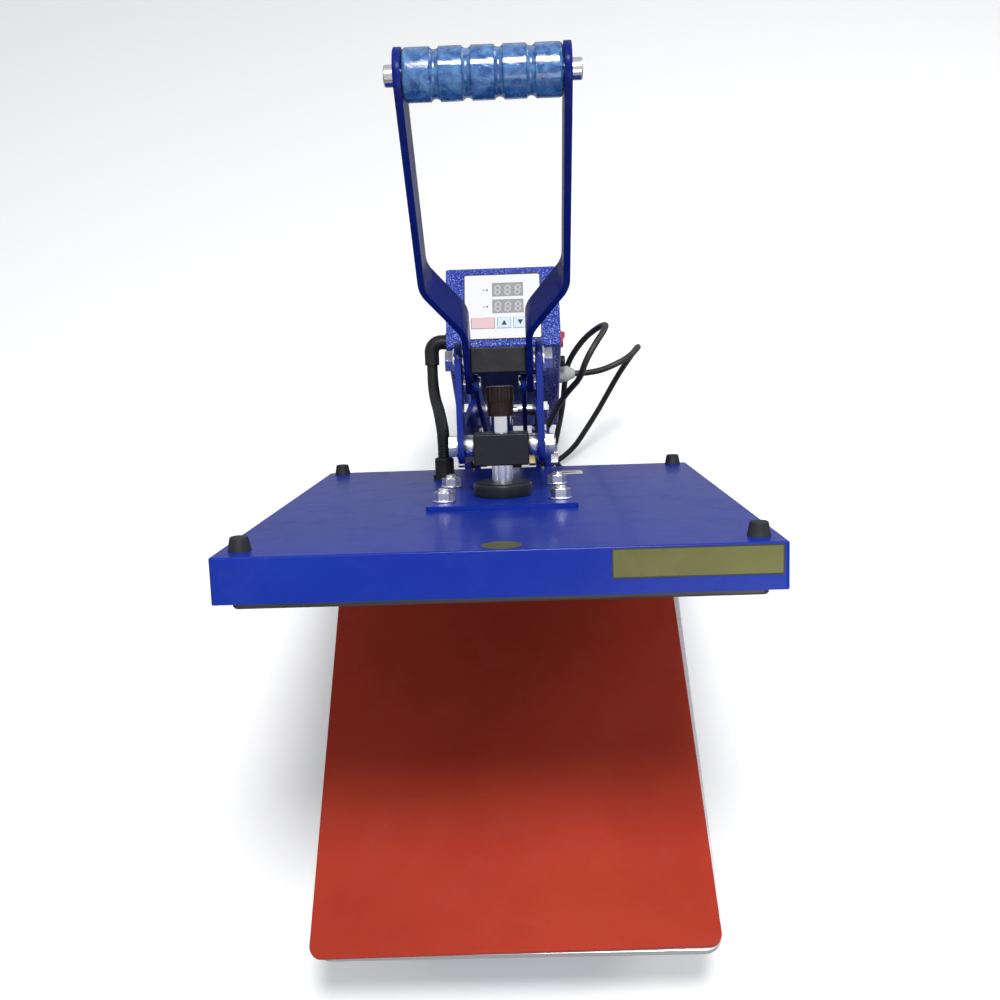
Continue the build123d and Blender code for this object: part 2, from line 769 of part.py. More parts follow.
# ---------- upper platen: heating plate, insulation and cover ----------
up_arm = Axis(arm.origin, arm.z_dir)
platen_bottom = closed_gap - hinge_above_pad
heater_top = platen_bottom + heating_plate_thickness
cover_bottom = platen_bottom + plate_below_cover
cover_top = cover_bottom + cover_height
element_radius = 4.0
element_bend = 30.0
element_inner_x = 32.0
element_reach_x = 140.0
element_reach_y = 200.0
element_clearance = 0.2
element_route = [
    (-element_reach_x, element_reach_y + 20),
    (-element_reach_x, -element_reach_y),
    (-element_inner_x, -element_reach_y),
    (-element_inner_x, element_reach_y),
    (element_inner_x, element_reach_y),
    (element_inner_x, -element_reach_y),
    (element_reach_x, -element_reach_y),
    (element_reach_x, element_reach_y + 20),
]
with BuildPart() as heating_element:
    with BuildLine(facing_up(arm, 0, pivot_back, heater_top)) as element_path:
        FilletPolyline(*element_route, radius=element_bend)
    with BuildSketch(facing_front(arm, -element_reach_x, pivot_back + element_reach_y + 20, heater_top)):
        Circle(element_radius)
    sweep(path=element_path.line)
save(heating_element, "heating_element")

with BuildPart() as element_groove:
    with BuildSketch(facing_front(arm, -element_reach_x, pivot_back + element_reach_y + 20, heater_top)):
        Circle(element_radius + element_clearance)
    sweep(path=element_path.line)

stud_radius = 5.0
stud_depth = 8.0
stud_slack = 0.5
stud_places = [(side * 54.0, pivot_back + y) for side in (-1, 1) for y in (-36.0, 69.0)]
with BuildPart() as heating_plate:
    slab(
        facing_up(arm, 0, pivot_back, platen_bottom), platen_width, platen_depth, heating_plate_thickness,
        corner=5.0,
    )
    chamfer(heating_plate.edges().group_by(up_arm)[0], length=1.5)
    for x, y in stud_places:
        disc(facing_up(arm, x, y, heater_top - stud_depth), stud_radius, stud_depth, Mode.SUBTRACT)
    add(element_groove.part, mode=Mode.SUBTRACT)
save(heating_plate, "heating_plate")

insulation_margin = 6.0
insulation_top = cover_top - cover_wall - 1.0
with BuildPart() as insulation:
    slab(
        facing_up(arm, 0, pivot_back, heater_top), platen_width - 2 * insulation_margin,
        platen_depth - 2 * insulation_margin, insulation_top - heater_top,
    )
    for x, y in stud_places:
        disc(facing_up(arm, x, y, heater_top), stud_radius + stud_slack, cover_height, Mode.SUBTRACT)
    add(element_groove.part, mode=Mode.SUBTRACT)
save(insulation, "insulation")

cover_width = platen_width + 2 * cover_margin
cover_depth = platen_depth + 2 * cover_margin
cover_corner = 3.0
with BuildPart() as top_cover:
    slab(
        facing_up(arm, 0, pivot_back, cover_bottom), cover_width, cover_depth, cover_height,
        corner=cover_corner,
    )
    fillet(top_cover.edges().group_by(up_arm)[-1], radius=cover_corner / 2)
    slab(
        facing_up(arm, 0, pivot_back, cover_bottom), cover_width - 2 * cover_wall,
        cover_depth - 2 * cover_wall, cover_height - cover_wall, Mode.SUBTRACT, cover_corner - cover_wall,
    )
    for x, y in stud_places:
        disc(
            facing_up(arm, x, y, cover_top - 2 * cover_wall), stud_radius + stud_slack,
            3 * cover_wall, Mode.SUBTRACT,
        )
save(top_cover, "top_cover")

mount_thickness = 4.0
mount_width = 138.0
mount_front_reach = 67.0
mount_rear_reach = 95.0
mount_front = pivot_back - mount_front_reach
mount_rear = pivot_back + mount_rear_reach
mount_top = cover_top + mount_thickness
with BuildPart() as mounting_plate:
    slab(
        facing_up(arm, 0, (mount_front + mount_rear) / 2, cover_top), mount_width,
        mount_rear - mount_front, mount_thickness, corner=3.0,
    )
    for x, y in stud_places:
        disc(facing_up(arm, x, y, cover_top), stud_radius + stud_slack, mount_thickness, Mode.SUBTRACT)
save(mounting_plate, "mounting_plate")

with BuildPart() as studs:
    for x, y in stud_places:
        disc(
            facing_up(arm, x, y, heater_top - stud_depth), stud_radius,
            mount_top + washer_thickness + nut_height + 3 - heater_top + stud_depth,
        )
        tube(facing_up(arm, x, y, mount_top), 10.5, stud_radius, washer_thickness)
        hexagon(facing_up(arm, x, y, mount_top + washer_thickness), 17.0, nut_height, stud_radius)
save(studs, "mounting_studs")

# Flange that holds the pressure screw's head down and lets it turn.
screw_head_radius = 14.0
screw_head_height = 4.8
flange_seat = 5.0
with BuildPart() as flange:
    disc(facing_up(arm, 0, pivot_back, mount_top), flange_radius, flange_height)
    chamfer(flange.edges().group_by(up_arm)[-1], length=2.0)
    disc(
        facing_up(arm, 0, pivot_back, mount_top), screw_head_radius + slide_fit, flange_seat, Mode.SUBTRACT
    )
    disc(facing_up(arm, 0, pivot_back, mount_top), screw_radius + running_fit, flange_height, Mode.SUBTRACT)
save(flange, "screw_flange")

corner_foot_radius = 9.0
corner_foot_height = 11.0
corner_foot_x = cover_width / 2 - 17.0
corner_foot_ys = (pivot_back - cover_depth / 2 + 27.0, pivot_back + cover_depth / 2 - 13.0)
with BuildPart() as corner_feet:
    for side in (-1, 1):
        for y in corner_foot_ys:
            with BuildSketch(facing_up(arm, side * corner_foot_x, y, cover_top)):
                Circle(corner_foot_radius)
            extrude(amount=corner_foot_height, taper=11)
    fillet(corner_feet.edges().group_by(up_arm)[-1], radius=1.5)
save(corner_feet, "corner_feet")

# Socket on the cover that the conduit slides into as the platen is raised and lowered.
conduit_radius = 7.0
conduit_gland_radius = 11.0
conduit_gland_height = 24.0
gland_x = -68.0
gland_reach = 172.0
gland_y = pivot_back + gland_reach
with BuildPart() as conduit_gland:
    hexagon(facing_up(arm, gland_x, gland_y, cover_top), 2 * conduit_gland_radius, 5.0)
    disc(facing_up(arm, gland_x, gland_y, cover_top), conduit_gland_radius - 0.5, conduit_gland_height)
    fillet(conduit_gland.edges().group_by(up_arm)[-1], radius=3.0)
    disc(
        facing_up(arm, gland_x, gland_y, cover_top + 4), conduit_radius + slide_fit,
        conduit_gland_height, Mode.SUBTRACT,
    )
save(conduit_gland, "conduit_gland")

# ---------- pressure screw, with the small screw that locks its knob ----------
set_screw_radius = 3.0
set_screw_height = 5.0
knob_wall = 4.0
with BuildPart() as pressure_screw:
    disc(facing_up(arm, 0, pivot_back, mount_top + slide_fit / 2), screw_head_radius, screw_head_height)
    disc(
        facing_up(arm, 0, pivot_back, mount_top + slide_fit / 2), screw_radius,
        knob_top - knob_wall - mount_top - slide_fit / 2,
    )
    disc(facing_right(arm, 0, pivot_back, knob_bottom + set_screw_height), set_screw_radius, knob_radius + 3)
save(pressure_screw, "pressure_screw")

flute_count = 14
flute_radius = 1.8
knob_step = 14.0
with BuildPart() as knob:
    disc(facing_up(arm, 0, pivot_back, knob_bottom), knob_radius - 0.8, knob_top - knob_bottom)
    disc(
        facing_up(arm, 0, pivot_back, knob_bottom + knob_step), knob_radius,
        knob_top - knob_bottom - knob_step,
    )
    chamfer(knob.edges().group_by(up_arm)[-1], length=1.5)
    with BuildSketch(facing_up(arm, 0, pivot_back, knob_bottom)):
        with PolarLocations(knob_radius + flute_radius / 2, flute_count):
            Circle(flute_radius)
    extrude(amount=knob_top - knob_bottom, mode=Mode.SUBTRACT)
    disc(
        facing_up(arm, 0, pivot_back, knob_bottom), screw_radius,
        knob_top - knob_bottom - knob_wall, Mode.SUBTRACT,
    )
    disc(
        facing_right(arm, 0, pivot_back, knob_bottom + set_screw_height), set_screw_radius,
        knob_radius + 2, Mode.SUBTRACT,
    )
save(knob, "pressure_knob")

# ---------- control box ----------
box_middle = box_height / 2
panel_width = 92.0
panel_height = 88.0
panel_middle = 54.0
panel_thickness = 2.0
window_width = 38.0
window_height = 19.0
window_thickness = 1.5
window_x = 6.5
window_drops = (21.0, 44.0)
key_row_drop = 66.5
key_height = 14.5
key_thickness = 3.4
key_proud = 1.0
key_travel = 0.6
keys = (("key_set", -24.0, 28.0), ("key_up", 1.5, 16.0), ("key_down", 21.0, 16.0))
panel_top = panel_middle + panel_height / 2
rocker_place = (66.0, 42.0)
fuse_place = (84.0, 20.0)
gland_place = (112.0, 16.0)
elbow_place = (49.0, 34.0)
box_screw_places = [(side, z) for side in (-1, 1) for z in (22.0, box_height - 22.0)]
box_screw_radius = 1.5
lip = 6.0
side_x = box_width / 2

with BuildPart() as control_box:
    with BuildSketch(facing_front(control, 0, box_depth, box_middle)):
        RectangleRounded(box_width, box_height, 2 * box_wall)
    extrude(amount=box_depth)
    chamfer(control_box.edges().group_by(Axis(control.origin, control.y_dir))[0], length=1.0)
    with BuildSketch(facing_front(control, 0, box_depth, box_middle)):
        RectangleRounded(box_width - 2 * box_wall, box_height - 2 * box_wall, box_wall)
    extrude(amount=box_depth - box_wall, mode=Mode.SUBTRACT)
    with BuildSketch(facing_front(control, 0, box_wall, panel_middle)):
        Rectangle(panel_width, panel_height)
    extrude(amount=box_wall, mode=Mode.SUBTRACT)
    slab(
        facing_right(control, side_x - 2 * box_wall, *rocker_place), 16 + slide_fit, 24 + slide_fit,
        3 * box_wall, Mode.SUBTRACT,
    )
    disc(facing_right(control, side_x - 2 * box_wall, *fuse_place), 5.5, 3 * box_wall, Mode.SUBTRACT)
    disc(facing_right(control, side_x - 2 * box_wall, *gland_place), 8.0, 3 * box_wall, Mode.SUBTRACT)
    disc(facing_right(control, 2 * box_wall - side_x, *elbow_place), 8.0, -3 * box_wall, Mode.SUBTRACT)
    for side, z in box_screw_places:
        disc(
            facing_right(control, side * (side_x - 2 * box_wall), box_depth - lip / 2, z),
            box_screw_radius, side * 3 * box_wall, Mode.SUBTRACT,
        )
save(control_box, "control_box")

vent_length = 50.0
vent_width = 3.0
vent_count = 5
vent_pitch = 9.0
with BuildPart() as box_back:
    with BuildSketch(facing_front(control, 0, box_total_depth, box_middle)):
        RectangleRounded(box_width, box_height, 2 * box_wall)
    extrude(amount=box_back_depth)
    chamfer(box_back.edges().group_by(Axis(control.origin, control.y_dir))[-1], length=1.0)
    with BuildSketch(facing_front(control, 0, box_depth, box_middle)):
        RectangleRounded(
            box_width - 2 * box_wall - 2 * slide_fit, box_height - 2 * box_wall - 2 * slide_fit, box_wall
        )
    extrude(amount=lip)
    with BuildSketch(facing_front(control, 0, box_total_depth - box_wall, box_middle)):
        RectangleRounded(box_width - 4 * box_wall, box_height - 4 * box_wall, box_wall)
    extrude(amount=box_back_depth - box_wall + lip, mode=Mode.SUBTRACT)
    with BuildSketch(facing_front(control, 0, box_total_depth, box_middle)):
        with GridLocations(0, vent_pitch, 1, vent_count):
            SlotOverall(vent_length, vent_width)
    extrude(amount=box_wall, mode=Mode.SUBTRACT)
    for side, z in box_screw_places:
        disc(
            facing_right(control, side * (side_x - 3 * box_wall), box_depth - lip / 2, z),
            box_screw_radius, side * 3 * box_wall, Mode.SUBTRACT,
        )
save(box_back, "control_box_back")

with BuildPart() as box_screws:
    for side, z in box_screw_places:
        start = facing_right(control, side * side_x, box_depth - lip / 2, z)
        disc(start, 2 * box_screw_radius, side * 1.4)
        disc(start, box_screw_radius, -side * 3 * box_wall)
save(box_screws, "box_screws")


def box_to_arm(y, z):
    """Point of the control box's side view, in the arm's side view."""
    along, up = turned(y, z, -box_tilt)
    return box_front + along, box_bottom + up


tab_radius = 12.0
mount_start = 20.0
mount_end = 150.0
with BuildPart() as box_bracket:
    slab(
        facing_up(control, 0, (mount_start + mount_end) / 2, -tab_thickness), 2 * tab_outer,
        mount_end - mount_start, tab_thickness,
    )
    for side in (-1, 1):
        with BuildSketch(facing_right(arm, side * plate_outer)):
            Polygon(
                box_to_arm(mount_start, -tab_thickness / 2),
                box_to_arm(mount_end, -tab_thickness / 2),
                (tab_bolt_back + tab_radius, tab_bolt_height),
                (tab_bolt_back, tab_bolt_height - tab_radius),
                (strut_tie_back - tab_radius, strut_tie_height),
                align=None,
            )
            with Locations((tab_bolt_back, tab_bolt_height), (strut_tie_back, strut_tie_height)):
                Circle(tab_radius)
            with Locations((tab_bolt_back, tab_bolt_height)):
                Circle(tab_bolt_radius, mode=Mode.SUBTRACT)
            with Locations((strut_tie_back, strut_tie_height)):
                Circle(bolt_radius, mode=Mode.SUBTRACT)
        extrude(amount=side * tab_thickness)
save(box_bracket, "box_bracket")

with BuildPart() as tab_bolts:
    for side in (-1, 1):
        spot = (tab_bolt_back, tab_bolt_height)
        disc(
            facing_right(arm, side * (plate_inner - 4), *spot), tab_bolt_radius,
            side * (tab_outer - plate_inner + 4),
        )
        hexagon(facing_right(arm, side * tab_outer, *spot), 13.0, side * 5.0)
        tube(facing_right(arm, side * plate_inner, *spot), 6.5, tab_bolt_radius, -side * 4.0)
save(tab_bolts, "bracket_tab_bolts")

with BuildPart() as panel:
    with BuildSketch(facing_front(control, 0, panel_thickness - 0.4, panel_middle)):
        Rectangle(panel_width - 2 * slide_fit, panel_height - 2 * slide_fit)
        for drop in window_drops:
            with Locations((window_x, panel_top - drop - panel_middle)):
                Rectangle(window_width, window_height, mode=Mode.SUBTRACT)
        for name, x, width in keys:
            with Locations((x, panel_top - key_row_drop - panel_middle)):
                Rectangle(width + 2 * slide_fit, key_height + 2 * slide_fit, mode=Mode.SUBTRACT)
    extrude(amount=panel_thickness)
save(panel, "control_panel")

with BuildPart() as windows:
    for drop in window_drops:
        slab(
            facing_front(control, window_x, window_thickness, panel_top - drop), window_width,
            window_height, window_thickness,
        )
save(windows, "display_windows")

for name, x, width in keys:
    with BuildPart() as key:
        slab(
            facing_front(control, x, key_thickness - key_proud, panel_top - key_row_drop), width,
            key_height, key_thickness,
        )
        chamfer(key.faces().sort_by(Axis(control.origin, control.y_dir))[0].edges(), length=0.3)
    save(key, name)

board_depth = 10.0
board_thickness = 1.6
with BuildPart() as board:
    slab(
        facing_front(control, 0, board_depth + board_thickness, panel_middle), panel_width - 4,
        panel_height - 4, board_thickness,
    )
    for drop in window_drops:
        slab(
            facing_front(control, window_x, board_depth, panel_top - drop), window_width - 2,
            window_height - 1, board_depth - window_thickness - 1,
        )
    slab(facing_front(control, -10, board_depth + board_thickness + 18, 30), 34, 26, 18)
save(board, "circuit_board")

rocker_pivot_inset = 1.0
rocker_depth = 5.0
rocker_half = 8.6
rocker_half_width = 6.0
rocker_shoulder = 5.0
rocker_lip = 7.4
rocker_lip_half = 7.0
rocker_dish = 1.6
rocker_tilt = 10.0
well_radius = 10.6
housing_wall = 1.4
rocker_y, rocker_z = rocker_place
with BuildPart() as housing:
    slab(facing_right(control, side_x - well_radius - 3, *rocker_place), 16, 24, well_radius + 3)
    slab(facing_right(control, side_x, *rocker_place), 19, 27, housing_wall)
    slab(
        facing_right(control, side_x - well_radius - 1.5, *rocker_place),
        2 * rocker_half_width + 2 * slide_fit, 2 * well_radius, well_radius + 5, Mode.SUBTRACT,
    )
save(housing, "rocker_housing")

rocker_x = side_x - rocker_pivot_inset
rocker_frame = Plane(
    origin=control.from_local_coords((rocker_x, rocker_y - rocker_half_width, rocker_z)),
    x_dir=control.x_dir * cos(radians(rocker_tilt)) - control.z_dir * sin(radians(rocker_tilt)),
    z_dir=-control.y_dir,
)
with BuildPart() as rocker:
    with BuildSketch(rocker_frame):
        with BuildLine():
            Polyline(
                (rocker_lip, rocker_lip_half), (rocker_shoulder, rocker_half),
                (-rocker_depth, rocker_half), (-rocker_depth, -rocker_half),
                (rocker_shoulder, -rocker_half), (rocker_lip, -rocker_lip_half),
            )
            ThreePointArc(
                (rocker_lip, -rocker_lip_half), (rocker_lip - rocker_dish, 0),
                (rocker_lip, rocker_lip_half),
            )
        make_face()
    extrude(amount=-2 * rocker_half_width)
save(rocker, "rocker_switch")

with BuildPart() as fuse_holder:
    disc(facing_right(control, side_x, *fuse_place), 7.0, 7.0)
    disc(facing_right(control, side_x - 20, *fuse_place), 5.5, 20)
    chamfer(fuse_holder.faces().sort_by(Axis.X)[-1].edges(), length=0.8)
save(fuse_holder, "fuse_holder")

# ---------- strain relief, elbow and conduit ----------
cord_radius = 3.9
gland_flange = 4.0
gland_body = 8.0
gland_nose = 8.0
gland_radius = 10.5
gland_nose_radius = 5.6
gland_length = gland_flange + gland_body + gland_nose
with BuildPart() as cord_gland:
    hexagon(facing_right(control, side_x, *gland_place), 2 * gland_radius, gland_flange)
    disc(facing_right(control, side_x + gland_flange, *gland_place), gland_radius - 0.5, gland_body)
    with BuildSketch(facing_right(control, side_x + gland_flange + gland_body, *gland_place)):
        Circle(gland_radius - 1.5)
    with BuildSketch(facing_right(control, side_x + gland_length, *gland_place)):
        Circle(gland_nose_radius)
    loft()
    disc(facing_right(control, side_x - 12, *gland_place), 8.0, 12)
save(cord_gland, "cord_gland")

elbow_x = -side_x - 22.0
elbow_radius = 9.0
elbow_back, elbow_height = box_to_arm(*elbow_place)
elbow_drop = 28.0
elbow_bend = 12.0
elbow_collar = 4.0
elbow_points = [
    (-side_x, elbow_back, elbow_height),
    (elbow_x, elbow_back, elbow_height),
    (elbow_x, elbow_back, elbow_height - elbow_drop),
]
with BuildPart() as elbow:
    with BuildLine() as elbow_path:
        FilletPolyline(*[arm.from_local_coords(point) for point in elbow_points], radius=elbow_bend)
    with BuildSketch(facing_right(arm, *elbow_points[0])):
        Circle(elbow_radius)
    sweep(path=elbow_path.line)
    disc(facing_right(arm, *elbow_points[0]), elbow_radius + 1.5, -elbow_collar)
save(elbow, "conduit_elbow")


def bend_radii(points):
    """Largest smooth bend at each inner point of a route that its two runs leave room for."""
    radii = []
    for before, corner, after in zip(points, points[1:], points[2:]):
        arriving = Vector(*corner) - Vector(*before)
        leaving = Vector(*after) - Vector(*corner)
        half_turn = radians(arriving.get_angle(leaving)) / 2
        shorter = min(arriving.length, leaving.length)
        radii.append(0.45 * shorter * cos(half_turn) / sin(half_turn))
    return radii


conduit_top = elbow_height - elbow_drop
conduit_route = [
    (elbow_x, elbow_back, conduit_top),
    (elbow_x, elbow_back - 2, conduit_top - 22),
    (elbow_x + 4, elbow_back - 28, conduit_top - 40),
    (elbow_x + 12, elbow_back - 78, conduit_top - 52),
    (gland_x - 5, gland_y + 40, cover_top + 62),
    (gland_x - 1, gland_y + 10, cover_top + 53),
    (gland_x, gland_y, cover_top + 38),
    (gland_x, gland_y, cover_top + 14),
]
with BuildPart() as conduit:
    with BuildLine() as conduit_path:
        conduit_corners = [arm.from_local_coords(point) for point in conduit_route]
        FilletPolyline(*conduit_corners, radius=bend_radii(conduit_route))
    with BuildSketch(facing_up(arm, *conduit_route[0])):
        Circle(conduit_radius)
    sweep(path=conduit_path.line)
save(conduit, "conduit")

# ---------- mains cord, lying as the press stands open ----------
# Each point is across the press, behind the hinge and above the table.
cord_points = [
    (123.0, 103.5, 221.5), (142.0, 106.5, 229.0),
    (159.0, 116.5, 231.0), (170.0, 132.5, 228.5), (175.5, 149.0, 219.0), (174.5, 163.5, 202.5),
    (168.5, 173.0, 177.0), (156.5, 177.5, 146.0), (143.0, 175.5, 112.5), (127.5, 167.0, 80.5),
    (109.5, 155.0, 53.0), (93.5, 145.5, 28.0), (71.0, 133.0, 14.5), (43.0, 124.0, 5.0),
    (10.5, 113.5, 4.0), (-23.5, 97.5, 4.0), (-53.0, 72.5, 4.0), (-69.5, 36.5, 4.0),
    (-62.0, -2.0, 4.0), (-30.5, -24.0, 4.0), (6.0, -17.5, 4.0), (26.0, 13.5, 4.0),
    (22.0, 49.0, 4.0), (11.5, 82.0, 4.0), (10.0, 110.0, 20.0), (18.0, 121.5, 49.5),
    (36.0, 111.0, 80.0), (54.0, 103.0, 118.0), (64.0, 89.5, 165.0), (75.5, 72.0, 211.5),
    (93.5, 63.0, 249.0), (100.0, 70.0, 271.0), (112.5, 85.5, 285.0), (124.5, 106.5, 287.0),
    (130.0, 129.5, 277.0), (123.5, 150.0, 256.0), (105.0, 157.0, 231.0), (86.0, 150.0, 203.0),
    (80.0, 156.0, 170.0), (78.5, 157.5, 137.5), (76.0, 151.0, 107.5), (70.5, 139.5, 81.5),
    (62.0, 121.0, 44.0), (67.5, 113.5, 24.0), (84.5, 107.0, 9.5), (107.0, 103.0, 4.5),
    (140.0, 102.0, 4.0), (174.0, 98.0, 4.0),
]
cord_start = facing_right(control, side_x + gland_length, *gland_place)
first_run = 14.0
cord_route = [cord_start.origin, cord_start.from_local_coords((0, 0, first_run))]
cord_route += [(x, hinge_y + y, z) for x, y, z in cord_points]
cord_radii = bend_radii(cord_route)
print("cord bend radii", [round(radius, 1) for radius in cord_radii])

coil_x = 176.0
coil_y = hinge_y + 50.0
coil_turns = 3
coil_mid_radius = 39.6
coil_width = coil_turns * 2 * cord_radius
coil_height = 2 * cord_radius
plug_axis_height = 12.0
plug_rear = coil_y - 70.0
plug_x = coil_x + 56.0
tail_inset = 4.0
# The tail leaves the coil's inner turn, passes over the outer ones and goes into the plug.
tail_points = [
    (29.9, 10.9, cord_radius), (33.5, -4.0, 4.5), (40.0, -20.0, 12.0), (47.0, -38.0, 12.5),
    (53.0, -56.0, 11.0),
]
tail_route = [(coil_x + x, coil_y + y, z) for x, y, z in tail_points]
tail_route.append((plug_x, plug_rear - tail_inset, plug_axis_height))
tail_radii = bend_radii(tail_route)
print("cord tail bend radii", [round(radius, 1) for radius in tail_radii])
with BuildPart() as power_cord:
    with BuildLine() as cord_path:
        FilletPolyline(*cord_route, radius=cord_radii)
    with BuildSketch(cord_start):
        Circle(cord_radius)
    sweep(path=cord_path.line)
    with BuildLine() as tail_path:
        FilletPolyline(*tail_route, radius=tail_radii)
    with BuildSketch(Plane(origin=tail_route[0], z_dir=tail_path.line % 0)):
        Circle(cord_radius)
    sweep(path=tail_path.line)
save(power_cord, "power_cord")

# The spare cord is coiled on the table; the coil is one solid of its outer shape.
coil_axis = Axis((coil_x, coil_y, 0), (0, 0, 1))
with BuildPart() as coil:
    coil_section = (coil_x + coil_mid_radius, coil_y, coil_height / 2)
    with BuildSketch(Plane(origin=coil_section, x_dir=(1, 0, 0), z_dir=(0, -1, 0))):
        RectangleRounded(coil_width, coil_height, cord_radius - 0.1)
    revolve(axis=coil_axis)
save(coil, "cord_coil")

tie_thickness = 1.2
tie_sweep = 8.0
tie_place = 60.0
tie_start = Plane(
    origin=(
        coil_x + coil_mid_radius * cos(radians(tie_place)),
        coil_y + coil_mid_radius * sin(radians(tie_place)),
        coil_height / 2,
    ),
    x_dir=(cos(radians(tie_place)), sin(radians(tie_place)), 0),
    z_dir=(sin(radians(tie_place)), -cos(radians(tie_place)), 0),
)
with BuildPart() as cord_tie:
    with BuildSketch(tie_start):
        with Locations((0, tie_thickness / 2)):
            Rectangle(coil_width + 2 * tie_thickness, coil_height + tie_thickness)
        tie_hole_width = coil_width + 2 * slide_fit
        tie_hole_height = coil_height + 2 * slide_fit
        RectangleRounded(tie_hole_width, tie_hole_height, cord_radius - 0.1, mode=Mode.SUBTRACT)
    revolve(axis=coil_axis, revolution_arc=tie_sweep)
save(cord_tie, "cord_tie")

plug_relief_length = 20.0
plug_body_length = 30.0
plug_body_width = 27.0
plug_body_height = 21.0
plug_face_width = 32.0
plug_face_height = 23.0
blade_length = 17.0
blade_spread = 6.35
blade_width = 6.3
blade_thickness = 1.5
earth_pin_radius = 2.4
earth_pin_length = 20.0
plug_front = plug_rear - plug_relief_length - plug_body_length
with BuildPart() as plug:
    with BuildSketch(facing_front(table, plug_x, plug_rear, plug_axis_height)):
        Circle(cord_radius + 1.6)
    with BuildSketch(facing_front(table, plug_x, plug_rear - plug_relief_length, plug_axis_height)):
        Circle(2 * cord_radius)
    loft()
    with BuildSketch(facing_front(table, plug_x, plug_rear - plug_relief_length, plug_axis_height)):
        RectangleRounded(plug_body_width, plug_body_height, 6.0)
    with BuildSketch(facing_front(table, plug_x, plug_front, plug_axis_height)):
        RectangleRounded(plug_face_width, plug_face_height, 6.0)
    loft()
    for side in (-1, 1):
        with BuildSketch(facing_front(table, plug_x + side * blade_spread, plug_front, plug_axis_height + 2)):
            Rectangle(blade_thickness, blade_width)
        extrude(amount=blade_length)
    disc(facing_front(table, plug_x, plug_front, plug_axis_height - 6), earth_pin_radius, earth_pin_length)
save(plug, "power_plug")
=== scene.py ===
import json
import math

import bmesh
import bpy
from mathutils import Matrix, Vector, noise


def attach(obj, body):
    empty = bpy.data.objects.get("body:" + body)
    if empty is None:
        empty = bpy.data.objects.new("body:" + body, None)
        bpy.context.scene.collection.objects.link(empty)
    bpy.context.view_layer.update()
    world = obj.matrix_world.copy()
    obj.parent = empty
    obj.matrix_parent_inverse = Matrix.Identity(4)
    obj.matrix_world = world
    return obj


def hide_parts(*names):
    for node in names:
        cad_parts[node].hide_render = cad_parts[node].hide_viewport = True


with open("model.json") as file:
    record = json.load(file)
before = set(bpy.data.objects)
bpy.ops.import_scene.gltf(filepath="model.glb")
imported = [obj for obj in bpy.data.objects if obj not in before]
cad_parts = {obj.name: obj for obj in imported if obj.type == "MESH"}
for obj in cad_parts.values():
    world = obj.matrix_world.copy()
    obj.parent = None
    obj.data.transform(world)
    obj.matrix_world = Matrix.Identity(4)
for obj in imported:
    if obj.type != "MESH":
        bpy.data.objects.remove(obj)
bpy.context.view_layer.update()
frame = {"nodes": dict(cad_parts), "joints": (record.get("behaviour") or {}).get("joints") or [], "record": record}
scene = bpy.context.scene
nodes = frame["nodes"]
print("frame loaded:", len(nodes), "nodes")

# Sizes shared by several pieces, in metres and degrees
press = {
    "openAngle": 42.65,
    "boxTilt": 28.0,
    "boxFront": -0.059,
    "boxBottom": 0.138,
}
hinge = next(Vector(joint["pos_m"]) for joint in frame["joints"] if joint["name"] == "arm_hinge")


def leaningFrame(origin, lean):
    # a frame at origin whose Z leans back by lean degrees
    return Matrix.Translation(origin) @ Matrix.Rotation(-math.radians(lean), 4, "X")


armFrame = leaningFrame(hinge, press["openAngle"])
controlFrame = leaningFrame(
    armFrame @ Vector((0, press["boxFront"], press["boxBottom"])), press["openAngle"] + press["boxTilt"]
)

# Where the camera stands and how it is turned, in the part's own frame
cameraValues = {
    "place": (0.023539, -0.747600, 1.229200),
    "right": (0.9992127, -0.0078413, -0.0388919),
    "up": (0.0306382, 0.7753047, 0.6308438),
    "lens": 39.8508,
    "sensorWidth": 36.0,
    "clip": (0.01, 50),
}


def makeCamera(values):
    right, up = Vector(values["right"]), Vector(values["up"])
    back = right.cross(up)
    turn = Matrix((right, up, back)).transposed().to_4x4()
    data = bpy.data.cameras.new("camera")
    data.lens = values["lens"]
    data.sensor_width = values["sensorWidth"]
    data.clip_start, data.clip_end = values["clip"]
    camera = bpy.data.objects.new("camera", data)
    camera.matrix_world = Matrix.Translation(Vector(values["place"])) @ turn
    scene.collection.objects.link(camera)
    scene.camera = camera


makeCamera(cameraValues)

# Floor, surroundings and lamps
studio = {
    "floorSize": 30.0,
    "floorTone": 0.86,
    "floorRoughness": 0.9,
    # light that the floor gives off, seen by the camera alone
    "floorGlow": 0.2,
    # the part of its brightness that the floor keeps in reflections on the press
    "floorMirrored": 0.45,
    "worldTone": (0.95, 0.97, 1.0),
    "worldStrength": 0.42,
    # how bright the surroundings look in reflections
    "worldMirrored": 0.68,
    "lamps": {
        "keyLamp": {"place": (0.1, -0.43, 2.6), "aim": (0, -0.1, 0.3), "size": 0.62, "power": 46},
        "frontLamp": {"place": (0.6, -2.3, 1.1), "aim": (0, 0, 0.35), "size": 1.3, "power": 11},
        "rimLamp": {"place": (1.5, 1.2, 1.6), "aim": (0, 0.1, 0.4), "size": 1.0, "power": 9},
    },
}


def nodeTree(name):
    # a new material whose tree holds only a Principled shader and its output
    material = bpy.data.materials.new(name)
    material.use_nodes = True
    tree = material.node_tree
    tree.nodes.clear()
    output = tree.nodes.new("ShaderNodeOutputMaterial")
    shader = tree.nodes.new("ShaderNodeBsdfPrincipled")
    tree.links.new(shader.outputs[0], output.inputs["Surface"])
    return material, tree, shader


